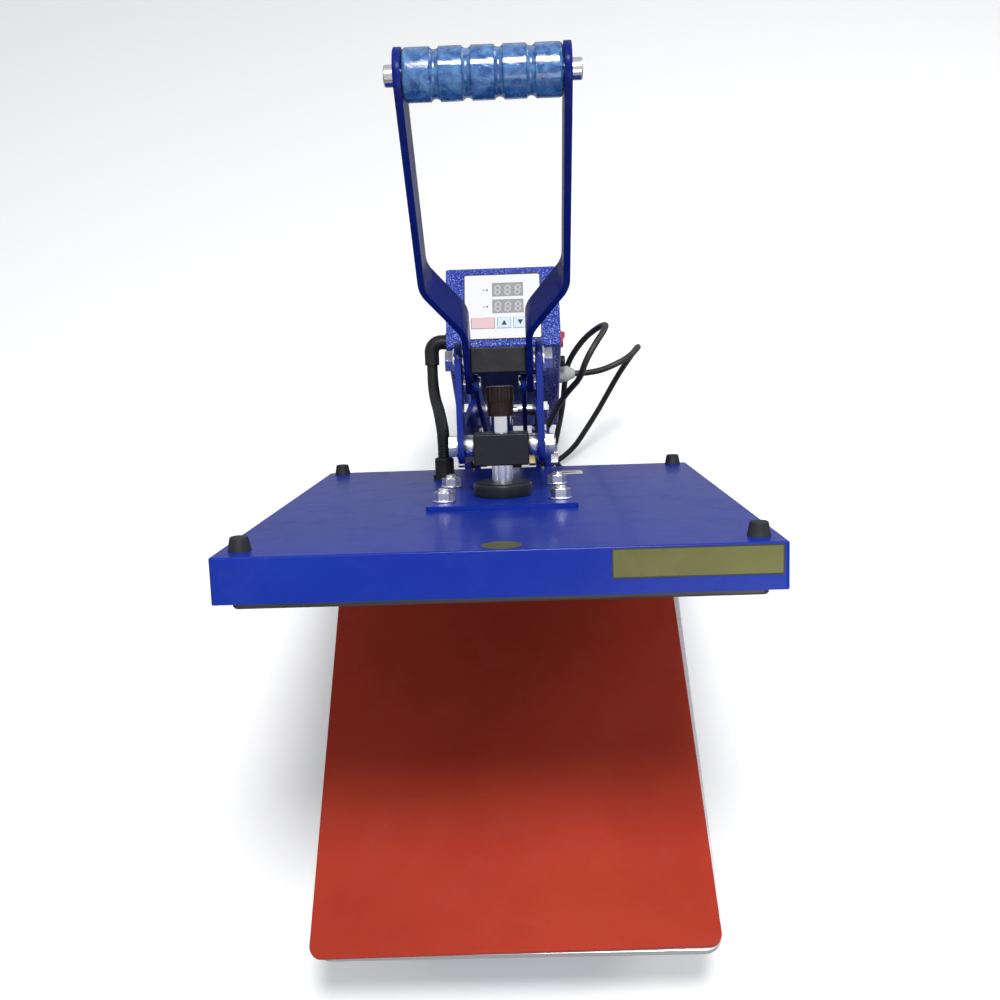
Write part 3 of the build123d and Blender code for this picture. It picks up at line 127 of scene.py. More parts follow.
def addNode(tree, kind, links=(), values=(), **settings):
    # a node with its settings, its input values and the sockets that feed it
    node = tree.nodes.new(kind)
    for key, value in settings.items():
        setattr(node, key, value)
    for key, value in dict(values).items():
        node.inputs[key].default_value = value
    for key, source in dict(links).items():
        tree.links.new(source, node.inputs[key])
    return node


def makeFloor(values):
    half = values["floorSize"] / 2
    corners = [(-half, -half, 0), (half, -half, 0), (half, half, 0), (-half, half, 0)]
    mesh = bpy.data.meshes.new("floor")
    mesh.from_pydata(corners, [], [(0, 1, 2, 3)])
    floor = bpy.data.objects.new("floor", mesh)
    scene.collection.objects.link(floor)
    material, tree, shader = nodeTree("floorPaper")
    shader.inputs["Roughness"].default_value = values["floorRoughness"]
    shader.inputs["Emission Color"].default_value = (1, 1, 1, 1)
    path = addNode(tree, "ShaderNodeLightPath")
    glow = addNode(
        tree, "ShaderNodeMath", {0: path.outputs["Is Camera Ray"]}, {1: values["floorGlow"]},
        operation="MULTIPLY",
    )
    plain = (values["floorTone"],) * 3 + (1,)
    mirrored = (values["floorTone"] * values["floorMirrored"],) * 3 + (1,)
    tone = addNode(
        tree, "ShaderNodeMix", {"Factor": path.outputs["Is Glossy Ray"]}, {"A": plain, "B": mirrored},
        data_type="RGBA",
    )
    tree.links.new(glow.outputs[0], shader.inputs["Emission Strength"])
    tree.links.new(tone.outputs["Result"], shader.inputs["Base Color"])
    mesh.materials.append(material)


def makeWorld(values):
    # soft light all round; the camera, also through clear parts, sees plain white
    world = bpy.data.worlds.new("world")
    scene.world = world
    world.use_nodes = True
    tree = world.node_tree
    tree.nodes.clear()
    path = addNode(tree, "ShaderNodeLightPath")
    strength = addNode(
        tree, "ShaderNodeMix", {"Factor": path.outputs["Is Glossy Ray"]},
        {"A": values["worldStrength"], "B": values["worldMirrored"]},
    )
    light = addNode(
        tree, "ShaderNodeBackground", {"Strength": strength.outputs["Result"]},
        {"Color": values["worldTone"] + (1,)},
    )
    backdrop = addNode(tree, "ShaderNodeBackground", {}, {"Color": (1, 1, 1, 1)})
    direct = addNode(
        tree, "ShaderNodeMath", {0: path.outputs["Is Camera Ray"], 1: path.outputs["Is Transmission Ray"]},
        operation="MAXIMUM",
    )
    mix = addNode(
        tree, "ShaderNodeMixShader", {0: direct.outputs[0], 1: light.outputs[0], 2: backdrop.outputs[0]}
    )
    addNode(tree, "ShaderNodeOutputWorld", {"Surface": mix.outputs[0]})


def makeLamps(lamps):
    for name, lamp in lamps.items():
        data = bpy.data.lights.new(name, "AREA")
        data.shape, data.size, data.energy = "DISK", lamp["size"], lamp["power"]
        piece = bpy.data.objects.new(name, data)
        place = Vector(lamp["place"])
        piece.location = place
        piece.rotation_euler = (Vector(lamp["aim"]) - place).to_track_quat("-Z", "Y").to_euler()
        scene.collection.objects.link(piece)


makeFloor(studio)
makeWorld(studio)
makeLamps(studio["lamps"])
scene.view_settings.view_transform = "Standard"
print("camera, floor and lamps made")

# The mains cord, from the control box down to the floor and into its coil
mainsCord = {
    "radius": 0.0039,
    # the gland's nose, across, into and up the control box
    "glandNose": (0.089, 0.112, 0.016),
    "firstRun": 0.014,
    # each point is across, behind the hinge and above the table, in millimetres
    "route": (
        (123, 103.5, 221.5), (142, 106.5, 229), (159, 116.5, 231), (170, 132.5, 228.5),
        (175.5, 149, 219), (174.5, 163.5, 202.5), (168.5, 173, 177), (156.5, 177.5, 146),
        (143, 175.5, 112.5), (127.5, 167, 80.5), (109.5, 155, 53), (93.5, 145.5, 28),
        (71, 133, 14.5), (43, 124, 5), (10.5, 113.5, 4), (-23.5, 97.5, 4),
        (-53, 72.5, 4), (-69.5, 36.5, 4), (-62, -2, 4), (-30.5, -24, 4),
        (6, -17.5, 4), (26, 13.5, 4), (22, 49, 4), (11.5, 82, 4),
        (10, 110, 20), (18, 121.5, 49.5), (36, 111, 80), (54, 103, 118),
        (64, 89.5, 165), (75.5, 72, 211.5), (93.5, 63, 249), (100, 70, 271),
        (112.5, 85.5, 285), (124.5, 106.5, 287), (130, 129.5, 277), (123.5, 150, 256),
        (105, 157, 231), (86, 150, 203), (80, 156, 170), (78.5, 157.5, 137.5),
        (76, 151, 107.5), (70.5, 139.5, 81.5), (62, 121, 44), (67.5, 113.5, 24),
        (84.5, 107, 9.5), (107, 103, 4.5), (140, 102, 4), (174, 98, 4),
    ),
    # the coil spirals inwards; its centre and its turns' radii are in millimetres
    "coilCentre": (176, 50),
    "outerTurn": 47.4,
    "innerTurn": 31.8,
    "pointsPerTurn": 16,
    "turns": 2.19,
    # where on the coil its first turn starts, in degrees
    "firstAngle": 90,
    # corners are rounded with a point every so many degrees
    "cornerStep": 5,
    # each point is across and behind the coil's centre and above the table, in millimetres
    "tail": ((33.5, -4, 4.5), (40, -20, 12), (47, -38, 12.5), (53, -56, 11), (56, -74, 12)),
}


def mm(*point):
    # a point given in millimetres
    return Vector(point) / 1000


def cordRoute(values):
    # the free stretch from the gland, the turns of the coil and the tail to the plug
    start = controlFrame @ Vector(values["glandNose"])
    points = [start, start + Vector((values["firstRun"], 0, 0))]
    points += [Vector((0, hinge.y, 0)) + mm(*point) for point in values["route"]]
    centre = Vector((0, hinge.y, 0)) + mm(*values["coilCentre"], 0)
    steps = int(values["pointsPerTurn"] * values["turns"])
    for count in range(1, steps + 1):
        radius = values["outerTurn"] + (values["innerTurn"] - values["outerTurn"]) * count / steps
        angle = math.radians(values["firstAngle"]) - 2 * math.pi * count / values["pointsPerTurn"]
        spoke = mm(radius * math.cos(angle), radius * math.sin(angle), 1000 * values["radius"])
        points.append(centre + spoke)
    points += [centre + mm(*point) for point in values["tail"]]
    return points


# a corner that turns less than leastTurn radians stays as it is, and points within leastGap metres are one
roundingValues = {"leastTurn": 0.01, "leastGap": 2e-4}


def roundedRoute(points, step):
    # each corner becomes the largest arc that its two legs leave room for, a point every few degrees
    rounded = [points[0]]
    for before, corner, after in zip(points, points[1:], points[2:]):
        arriving, leaving = corner - before, after - corner
        reach = min(arriving.length, leaving.length) / 2
        arriving.normalize()
        leaving.normalize()
        turn = arriving.angle(leaving)
        if turn < roundingValues["leastTurn"]:
            rounded.append(corner)
            continue
        radius = reach / math.tan(turn / 2)
        begin = corner - arriving * reach
        inward = (leaving - arriving * math.cos(turn)) / math.sin(turn)
        count = max(2, math.ceil(turn / step))
        for index in range(count + 1):
            angle = turn * index / count
            bend = arriving * math.sin(angle) + inward * (1 - math.cos(angle))
            rounded.append(begin + radius * bend)
    rounded.append(points[-1])
    kept = rounded[:1]
    for point in rounded[1:]:
        if (point - kept[-1]).length > roundingValues["leastGap"]:
            kept.append(point)
    return kept


def curveObject(name, points, radius, bevelSteps=8):
    curve = bpy.data.curves.new(name, "CURVE")
    curve.dimensions = "3D"
    # a depth of one takes its radius from the points, and Blender's bounds then follow the tube
    curve.bevel_depth = 1 if radius > 0 else 0
    curve.bevel_resolution = bevelSteps
    curve.use_fill_caps = True
    spline = curve.splines.new("POLY")
    spline.points.add(len(points) - 1)
    for slot, point in zip(spline.points, points):
        slot.co = (*point, 1)
        slot.radius = radius
    spline.use_smooth = True
    piece = bpy.data.objects.new(name, curve)
    scene.collection.objects.link(piece)
    return piece


cordPoints = roundedRoute(cordRoute(mainsCord), math.radians(mainsCord["cornerStep"]))
cordPiece = curveObject("mainsCord", cordPoints, mainsCord["radius"])
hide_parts("power_cord", "cord_coil")
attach(cordPiece, "base")
print("mains cord laid")

# How the noises of the shader groups look, and between which of their values a mask rises from 0 to 1
noises = {
    "fineGrain": dict(detail=3.0, roughness=0.6),
    "grainPatches": dict(scale=9.0, detail=4.0, roughness=0.55),
    "pitDrift": dict(scale=160.0, detail=2.0),
    "brightSpecks": dict(scale=700.0, detail=1.0),
    "scratches": dict(scale=1.0, roughness=0.7),
    "dustClouds": dict(detail=8.0, roughness=0.68, distortion=0.6),
    "filmClouds": dict(detail=6.0, roughness=0.6, distortion=1.6),
    "filmWrinkles": dict(scale=260.0, detail=3.0, distortion=2.5),
}
cuts = {
    "grainPatches": (0.3, 0.7),
    "brightSpecks": (0.58, 0.67),
    "scratches": (0.35, 0.65),
    "dustClouds": (0.5, 0.75),
    "filmClouds": (0.42, 0.68),
    "filmWrinkles": (0.6, 0.7),
}
pitDriftReach = 0.004  # metres that the hammered pits stray from an even pattern


def groupTree(name, inputs, *outputs):
    # an empty shader group whose sockets are all numbers
    tree = bpy.data.node_groups.new(name, "ShaderNodeTree")
    for label, value in inputs.items():
        tree.interface.new_socket(label, in_out="INPUT", socket_type="NodeSocketFloat").default_value = value
    for label in outputs:
        tree.interface.new_socket(label, in_out="OUTPUT", socket_type="NodeSocketFloat")
    return tree, tree.nodes.new("NodeGroupInput").outputs, tree.nodes.new("NodeGroupOutput")


def noiseAt(tree, place, name, links=()):
    values = {key.capitalize(): value for key, value in noises[name].items()}
    return addNode(tree, "ShaderNodeTexNoise", {"Vector": place, **dict(links)}, values)


def cutMask(tree, noiseNode, name):
    low, high = cuts[name]
    limits = {"From Min": low, "From Max": high}
    return addNode(tree, "ShaderNodeMapRange", {"Value": noiseNode.outputs["Fac"]}, limits).outputs[0]


def combined(tree, operation, first, second):
    # the result of a calculation with two sockets
    return addNode(tree, "ShaderNodeMath", {0: first, 1: second}, operation=operation).outputs[0]


def closed(tree, out, **results):
    # the group, with what it gives joined to its output sockets
    for label, source in results.items():
        tree.links.new(source, out.inputs[label])
    return tree


def objectPlace(tree):
    return addNode(tree, "ShaderNodeTexCoord").outputs["Object"]


def makeGrain():
    # fine even grain of a powder coat or a moulded skin
    tree, into, out = groupTree("fineGrain", {"Scale": 900.0, "Spread": 0.5}, "Height", "Mask")
    place = objectPlace(tree)
    fine = noiseAt(tree, place, "fineGrain", {"Scale": into["Scale"]})
    patches = noiseAt(tree, place, "grainPatches")
    mask = combined(tree, "MULTIPLY", cutMask(tree, patches, "grainPatches"), into["Spread"])
    return closed(tree, out, Height=fine.outputs["Fac"], Mask=mask)


def makeHammer():
    # orange-peel pits with bright specks, as on a hammered enamel
    tree, into, out = groupTree("hammeredSkin", {"Scale": 330.0, "Specks": 0.5}, "Height", "Mask")
    place = objectPlace(tree)
    drift = noiseAt(tree, place, "pitDrift")
    moved = addNode(
        tree, "ShaderNodeVectorMath", {0: drift.outputs["Color"]}, {1: (pitDriftReach,) * 3},
        operation="MULTIPLY",
    )
    spot = addNode(tree, "ShaderNodeVectorMath", {0: place, 1: moved.outputs[0]}, operation="ADD")
    cells = addNode(
        tree, "ShaderNodeTexVoronoi", {"Vector": spot.outputs[0], "Scale": into["Scale"]},
        feature="SMOOTH_F1",
    )
    specks = noiseAt(tree, place, "brightSpecks")
    mask = combined(tree, "MULTIPLY", cutMask(tree, specks, "brightSpecks"), into["Specks"])
    return closed(tree, out, Height=cells.outputs["Distance"], Mask=mask)


def makeBrushed():
    # long fine scratches that run along the axis with the smallest number
    tree, into, out = groupTree(
        "brushedLines", {"Along X": 4.0, "Along Y": 4.0, "Along Z": 4.0, "Detail": 3.0}, "Height", "Mask"
    )
    scale = addNode(tree, "ShaderNodeCombineXYZ", {axis: into["Along " + axis] for axis in "XYZ"})
    stretched = addNode(
        tree, "ShaderNodeVectorMath", {0: objectPlace(tree), 1: scale.outputs[0]}, operation="MULTIPLY"
    )
    lines = noiseAt(tree, stretched.outputs[0], "scratches", {"Detail": into["Detail"]})
    return closed(tree, out, Height=lines.outputs["Fac"], Mask=cutMask(tree, lines, "scratches"))


def makeGrime():
    # thin uneven film of handling marks and dust
    tree, into, out = groupTree("handlingMarks", {"Scale": 30.0, "Amount": 0.3}, "Mask")
    clouds = noiseAt(tree, objectPlace(tree), "dustClouds", {"Scale": into["Scale"]})
    mask = combined(tree, "MULTIPLY", cutMask(tree, clouds, "dustClouds"), into["Amount"])
    return closed(tree, out, Mask=mask)


def makeSmears():
    # cloudy smears and wrinkles, as in a clear film wound on a moulded sleeve
    tree, into, out = groupTree("smearedSkin", {"Scale": 55.0, "Contrast": 0.9}, "Height", "Mask")
    place = objectPlace(tree)
    clouds = noiseAt(tree, place, "filmClouds", {"Scale": into["Scale"]})
    wrinkles = noiseAt(tree, place, "filmWrinkles")
    both = combined(
        tree, "MAXIMUM", cutMask(tree, clouds, "filmClouds"), cutMask(tree, wrinkles, "filmWrinkles")
    )
    mask = combined(tree, "MULTIPLY", both, into["Contrast"])
    return closed(tree, out, Height=clouds.outputs["Fac"], Mask=mask)


skins = {"grain": makeGrain(), "hammer": makeHammer(), "brushed": makeBrushed(), "smeared": makeSmears()}
grime = makeGrime()

# Each finish: its colour and the colour of its mask, its roughness from clean to marked, its skin and that
# skin's values, the bump's depth in metres, how strong the handling marks are, how metallic it is, and
# what else is set on the shader itself
finishes = {
    "coverPaint": dict(
        tone=(0.0025, 0.019, 0.25), tone2=(0.004, 0.027, 0.30), rough=(0.36, 0.46), skin="grain",
        skinValues={"Scale": 1100.0, "Spread": 0.8}, depth=0.00010, grime=0.10,
        shader={"Specular IOR Level": 0.1, "Coat Weight": 0.2, "Coat Roughness": 0.14},
    ),
    "framePaint": dict(
        tone=(0.004, 0.018, 0.2), tone2=(0.006, 0.025, 0.26), rough=(0.4, 0.5), skin="grain",
        skinValues={"Scale": 900.0, "Spread": 0.8}, depth=0.00012, grime=0.25,
        shader={"Specular IOR Level": 0.2, "Coat Weight": 0.15, "Coat Roughness": 0.2},
    ),
    "hammerPaint": dict(
        tone=(0.004, 0.023, 0.28), tone2=(0.26, 0.37, 0.88), rough=(0.24, 0.34), skin="hammer",
        skinValues={"Scale": 330.0, "Specks": 1.0}, depth=0.0005, grime=0.1,
        shader={"Specular IOR Level": 0.4, "Coat Weight": 0.2, "Coat Roughness": 0.2},
    ),
    "barPaint": dict(
        tone=(0.003, 0.009, 0.11), tone2=(0.005, 0.014, 0.16), rough=(0.26, 0.38), skin="grain",
        skinValues={"Scale": 900.0, "Spread": 0.8}, depth=0.00010, grime=0.2,
        shader={"Specular IOR Level": 0.06, "Coat Weight": 0.04, "Coat Roughness": 0.15},
    ),
    "blackOxide": dict(
        tone=(0.012, 0.012, 0.015), tone2=(0.03, 0.03, 0.035), rough=(0.38, 0.5), skin="grain",
        skinValues={"Scale": 700.0, "Spread": 0.9}, depth=0.00006, grime=0.25, metal=0.35,
        shader={"Specular IOR Level": 0.3},
    ),
    "blackNylon": dict(
        tone=(0.008, 0.008, 0.009), tone2=(0.016, 0.016, 0.017), rough=(0.45, 0.58), skin="grain",
        skinValues={"Scale": 1300.0, "Spread": 0.8}, depth=0.00006, grime=0.2,
        shader={"Specular IOR Level": 0.25},
    ),
    "footRubber": dict(
        tone=(0.010, 0.011, 0.013), tone2=(0.022, 0.023, 0.026), rough=(0.55, 0.7), skin="grain",
        skinValues={"Scale": 800.0, "Spread": 0.8}, depth=0.00008, grime=0.3,
        shader={"Specular IOR Level": 0.25},
    ),
    "brownKnob": dict(
        tone=(0.010, 0.006, 0.005), tone2=(0.022, 0.014, 0.011), rough=(0.36, 0.5), skin="grain",
        skinValues={"Scale": 1200.0, "Spread": 0.8}, depth=0.00005, grime=0.2,
        shader={"Specular IOR Level": 0.2},
    ),
    "brightZinc": dict(
        tone=(0.74, 0.75, 0.78), tone2=(0.85, 0.85, 0.87), rough=(0.26, 0.42), skin="brushed",
        skinValues={"Along X": 900.0, "Along Y": 900.0, "Along Z": 900.0},
        depth=0.00002, grime=0.25, metal=1.0,
    ),
    "goldZinc": dict(
        tone=(0.62, 0.48, 0.20), tone2=(0.55, 0.52, 0.34), rough=(0.22, 0.38), skin="brushed",
        skinValues={"Along X": 300.0, "Along Y": 300.0, "Along Z": 300.0},
        depth=0.00002, grime=0.2, metal=1.0,
    ),
    "bronzeBush": dict(
        tone=(0.42, 0.24, 0.10), tone2=(0.5, 0.3, 0.14), rough=(0.35, 0.5), skin="grain",
        skinValues={"Scale": 1500.0, "Spread": 0.8}, depth=0.00003, grime=0.2, metal=1.0,
    ),
    "polishedShaft": dict(
        tone=(0.86, 0.86, 0.88), tone2=(0.94, 0.94, 0.95), rough=(0.16, 0.28), skin="brushed",
        skinValues={"Along X": 40.0, "Along Y": 2500.0, "Along Z": 2500.0},
        depth=0.00001, grime=0.15, metal=1.0,
    ),
    "turnedRod": dict(
        tone=(0.66, 0.66, 0.69), tone2=(0.74, 0.74, 0.76), rough=(0.2, 0.35), skin="brushed",
        skinValues={"Along X": 3000.0, "Along Y": 60.0, "Along Z": 60.0},
        depth=0.00002, grime=0.15, metal=1.0,
    ),
    "milledPlate": dict(
        tone=(0.66, 0.67, 0.70), tone2=(0.76, 0.77, 0.79), rough=(0.3, 0.48), skin="brushed",
        skinValues={"Along X": 9.0, "Along Y": 1200.0, "Along Z": 1200.0},
        depth=0.00003, grime=0.3, metal=1.0,
    ),
    "heaterPlate": dict(
        tone=(0.05, 0.05, 0.055), tone2=(0.08, 0.08, 0.085), rough=(0.4, 0.55), skin="grain",
        skinValues={"Scale": 600.0, "Spread": 0.9}, depth=0.00005, grime=0.3, metal=0.6,
    ),
    "sheathSteel": dict(
        tone=(0.2, 0.2, 0.2), tone2=(0.3, 0.29, 0.27), rough=(0.4, 0.55), skin="grain",
        skinValues={"Scale": 900.0, "Spread": 0.8}, depth=0.00004, grime=0.3, metal=1.0,
    ),
    "mineralWool": dict(
        tone=(0.62, 0.56, 0.42), tone2=(0.72, 0.68, 0.55), rough=(0.9, 1.0), skin="hammer",
        skinValues={"Scale": 400.0, "Specks": 0.6}, depth=0.0008, grime=0.3,
    ),
    "greenBoard": dict(
        tone=(0.01, 0.09, 0.03), tone2=(0.02, 0.13, 0.05), rough=(0.3, 0.45), skin="grain",
        skinValues={"Scale": 500.0, "Spread": 0.6}, depth=0.00004, grime=0.1,
    ),
    "printedSheet": dict(
        tone=(0.74, 0.74, 0.77), tone2=(0.8, 0.8, 0.82), rough=(0.35, 0.45), skin="grain",
        skinValues={"Scale": 1600.0, "Spread": 0.5}, depth=0.00003, grime=0.1,
    ),
    "displayGrey": dict(
        tone=(0.3, 0.3, 0.31), tone2=(0.34, 0.34, 0.35), rough=(0.16, 0.24), skin="grain",
        skinValues={"Scale": 900.0, "Spread": 0.5}, depth=0.00001, grime=0.1,
        shader={"Coat Weight": 0.4, "Coat Roughness": 0.1},
    ),
    "roseKey": dict(
        tone=(0.66, 0.46, 0.47), tone2=(0.72, 0.52, 0.53), rough=(0.38, 0.48), skin="grain",
        skinValues={"Scale": 1400.0, "Spread": 0.5}, depth=0.00003, grime=0.1,
    ),
    "paleBlueKey": dict(
        tone=(0.58, 0.68, 0.82), tone2=(0.64, 0.73, 0.85), rough=(0.38, 0.48), skin="grain",
        skinValues={"Scale": 1400.0, "Spread": 0.5}, depth=0.00003, grime=0.1,
    ),
    "rockerRed": dict(
        tone=(0.55, 0.012, 0.012), tone2=(0.65, 0.02, 0.015), rough=(0.15, 0.25), skin="grain",
        skinValues={"Scale": 500.0, "Spread": 0.6}, depth=0.00002, grime=0.15,
        shader={"Coat Weight": 0.4, "Coat Roughness": 0.1},
    ),
    "greyNylon": dict(
        tone=(0.42, 0.42, 0.41), tone2=(0.5, 0.5, 0.49), rough=(0.42, 0.55), skin="grain",
        skinValues={"Scale": 1100.0, "Spread": 0.8}, depth=0.00005, grime=0.25,
    ),
    "cordSheath": dict(
        tone=(0.013, 0.010, 0.009), tone2=(0.024, 0.019, 0.017), rough=(0.42, 0.56), skin="grain",
        skinValues={"Scale": 900.0, "Spread": 0.8}, depth=0.00006, grime=0.3,
    ),
    "siliconePad": dict(
        tone=(0.38, 0.034, 0.017), tone2=(0.45, 0.047, 0.025), rough=(0.74, 0.9), skin="grain",
        skinValues={"Scale": 1500.0, "Spread": 0.8}, depth=0.00016, grime=0.18,
        shader={"Specular IOR Level": 0.08, "Sheen Weight": 0.04, "Sheen Roughness": 0.5},
    ),
    "translucentGrip": dict(
        tone=(0.008, 0.07, 0.27), tone2=(0.13, 0.33, 0.64), rough=(0.1, 0.24), skin="smeared",
        skinValues={"Scale": 55.0, "Contrast": 0.85}, depth=0.0006, grime=0.12,
        shader={"Transmission Weight": 0.35, "IOR": 1.46, "Coat Weight": 0.7, "Coat Roughness": 0.05},
    ),
    "oliveFoil": dict(
        tone=(0.085, 0.088, 0.018), tone2=(0.13, 0.128, 0.032), rough=(0.3, 0.45), skin="grain",
        skinValues={"Scale": 300.0, "Spread": 0.9}, depth=0.00004, grime=0.5, metal=0.3,
    ),
    "keyRing": dict(
        tone=(0.50, 0.62, 0.75), tone2=(0.56, 0.67, 0.79), rough=(0.4, 0.5), skin="grain",
        skinValues={"Scale": 1400.0, "Spread": 0.5}, depth=0.00001, grime=0.1,
    ),
    "roseRing": dict(
        tone=(0.78, 0.44, 0.44), tone2=(0.82, 0.5, 0.49), rough=(0.4, 0.5), skin="grain",
        skinValues={"Scale": 1400.0, "Spread": 0.5}, depth=0.00001, grime=0.1,
    ),
    "blackInk": dict(
        tone=(0.010, 0.010, 0.010), tone2=(0.02, 0.02, 0.02), rough=(0.4, 0.5), skin="grain",
        skinValues={"Scale": 1500.0, "Spread": 0.5}, depth=0.00001, grime=0.1,
    ),
    "paleSegment": dict(
        tone=(0.47, 0.47, 0.47), tone2=(0.52, 0.52, 0.52), rough=(0.3, 0.4), skin="grain",
        skinValues={"Scale": 900.0, "Spread": 0.5}, depth=0.00001, grime=0.1,
    ),
    "whiteSticker": dict(
        tone=(0.66, 0.66, 0.64), tone2=(0.72, 0.72, 0.7), rough=(0.5, 0.6), skin="grain",
        skinValues={"Scale": 900.0, "Spread": 0.5}, depth=0.00003, grime=0.3,
    ),
}

# handling marks turn a finish towards a dustier tone, and bring it to its full roughness where they are full
dustValues = {"kept": 0.75, "added": 0.05, "leastMarks": 0.05}


def makeFinish(name, look):
    material, tree, shader = nodeTree(name)
    skin = addNode(tree, "ShaderNodeGroup", (), look["skinValues"], node_tree=skins[look["skin"]])
    marks = addNode(tree, "ShaderNodeGroup", (), {"Amount": look["grime"]}, node_tree=grime)
    tones = addNode(
        tree, "ShaderNodeMix", {"Factor": skin.outputs["Mask"]},
        {"A": look["tone"] + (1,), "B": look["tone2"] + (1,)}, data_type="RGBA",
    )
    dusty = tuple(dustValues["kept"] * value + dustValues["added"] for value in look["tone2"]) + (1,)
    worn = addNode(
        tree, "ShaderNodeMix", {"Factor": marks.outputs["Mask"], "A": tones.outputs["Result"]}, {"B": dusty},
        data_type="RGBA",
    )
    low, high = look["rough"]
    full = max(look["grime"], dustValues["leastMarks"])
    rough = addNode(
        tree, "ShaderNodeMapRange", {"Value": marks.outputs["Mask"]},
        {"From Max": full, "To Min": low, "To Max": high},
    )
    bump = addNode(
        tree, "ShaderNodeBump", {"Height": skin.outputs["Height"]},
        {"Strength": 1.0, "Distance": look["depth"]},
    )
    tree.links.new(worn.outputs["Result"], shader.inputs["Base Color"])
    tree.links.new(rough.outputs[0], shader.inputs["Roughness"])
    tree.links.new(bump.outputs[0], shader.inputs["Normal"])
    for key, value in {"Metallic": look.get("metal", 0.0), **look.get("shader", {})}.items():
        shader.inputs[key].default_value = value
    return material


materials = {name: makeFinish(name, look) for name, look in finishes.items()}
print("finishes made:", len(materials))

nodeFinishes = {
    "coverPaint": ("top_cover", "mounting_plate"),
    "framePaint": (
        "base_frame", "support_beams", "hinge_bracket", "box_bracket", "toggle_links",
        "arm_plate_left", "arm_plate_right",
    ),
    "hammerPaint": ("control_box", "control_box_back"),
    "barPaint": ("handle_bar_left", "handle_bar_right"),
    "blackOxide": ("lower_block", "upper_block", "screw_flange", "strut_cylinder"),
    "blackNylon": (
        "rail_end_caps", "rocker_housing", "fuse_holder", "conduit_elbow", "conduit", "conduit_gland",
        "cord_tie",
    ),
    "footRubber": ("rubber_feet", "corner_feet"),
    "brownKnob": ("pressure_knob",),
    "brightZinc": (
        "base_bolts", "hinge_bolts", "link_anchor_bolt", "strut_foot_pin", "lower_pivot_bolts", "arm_tie",
        "box_screws", "bracket_tab_bolts", "mounting_studs", "handle_bolts", "toggle_pins",
    ),
    "goldZinc": ("hinge_spacers",),
    "bronzeBush": ("hinge_bushes",),
    "polishedShaft": ("pressure_screw", "strut_rod"),
    "turnedRod": ("handle_rod",),
    "milledPlate": ("lower_plate",),
    "heaterPlate": ("heating_plate",),
    "sheathSteel": ("heating_element",),
    "mineralWool": ("insulation",),
    "greenBoard": ("circuit_board",),
    "printedSheet": ("control_panel",),
    "displayGrey": ("display_windows",),
    "roseKey": ("key_set",),
    "paleBlueKey": ("key_up", "key_down"),
    "rockerRed": ("rocker_switch",),
    "greyNylon": ("cord_gland",),
    "cordSheath": ("power_cord", "cord_coil", "power_plug"),
    "siliconePad": ("silicone_pad",),
    "translucentGrip": ("grip",),
}


def paint(piece, finish):
    piece.data.materials.clear()
    piece.data.materials.append(materials[finish])


for finish, names in nodeFinishes.items():
    for name in names:
        paint(nodes[name], finish)
paint(cordPiece, "cordSheath")


def localBox(name, place):
    # lowest and highest corners of a node, measured in the given frame
    inverse = place.inverted()
    corners = [inverse @ vertex.co for vertex in nodes[name].data.vertices]
    low = Vector(min(corner[axis] for corner in corners) for axis in range(3))
    high = Vector(max(corner[axis] for corner in corners) for axis in range(3))
    return low, high


def addPiece(name, mesh, body, finish):
    # a new piece in its finish, riding on a body
    piece = bpy.data.objects.new(name, mesh)
    scene.collection.objects.link(piece)
    paint(piece, finish)
    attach(piece, body)
    return piece


def meshFrom(build, name, place=Matrix()):
    # what was built, as a mesh moved to its place
    build.transform(place)
    mesh = bpy.data.meshes.new(name)
    build.to_mesh(mesh)
    build.free()
    return mesh


def bakedMesh(carrier, name):
    # what its modifier makes of the carrier, as a plain mesh; the carrier is removed
    graph = bpy.context.evaluated_depsgraph_get()
    graph.update()
    mesh = bpy.data.meshes.new_from_object(carrier.evaluated_get(graph), depsgraph=graph)
    mesh.name = name
    bpy.data.objects.remove(carrier)
    return mesh


def flatMesh(name, loops, place, height, softness=0.0):
    # closed outlines in the XY plane of a frame, raised to height, their upper edges rounded by softness
    build = bmesh.new()
    for loop in loops:
        face = build.faces.new([build.verts.new((*point, 0.0)) for point in loop])
        face.normal_update()
        if face.normal.z < 0:
            face.normal_flip()
        raised = bmesh.ops.extrude_face_region(build, geom=[face])["geom"]
        for vertex in [part for part in raised if isinstance(part, bmesh.types.BMVert)]:
            vertex.co.z = height
    bmesh.ops.recalc_face_normals(build, faces=build.faces)
    if softness:
        upper = [edge for edge in build.edges if all(vertex.co.z > height / 2 for vertex in edge.verts)]
        bmesh.ops.bevel(build, geom=upper, offset=softness, segments=2, profile=0.5, affect="EDGES")
    return meshFrom(build, name, place)


def ringMesh(name, outer, inner, place, height):
    # a flat ring between two outlines of the same number of points
    count = len(outer)
    build = bmesh.new()
    rings = [
        [build.verts.new((*point, level)) for point in loop]
        for loop, level in ((outer, 0.0), (outer, height), (inner, height), (inner, 0.0))
    ]
    for low, high in zip(rings, rings[1:] + rings[:1]):
        for spot in range(count):
            after = (spot + 1) % count
            build.faces.new((low[spot], low[after], high[after], high[spot]))
    bmesh.ops.recalc_face_normals(build, faces=build.faces)
    return meshFrom(build, name, place)


def roundedRectangle(width, height, radius, centre=(0.0, 0.0), steps=6):
    # an outline whose corners are quarter turns
    points = []
    for corner, (sideX, sideY) in enumerate(((1, 1), (-1, 1), (-1, -1), (1, -1))):
        for step in range(steps + 1):
            angle = math.radians(90 * (corner + step / steps))
            points.append((
                centre[0] + sideX * (width / 2 - radius) + radius * math.cos(angle),
                centre[1] + sideY * (height / 2 - radius) + radius * math.sin(angle),
            ))
    return points


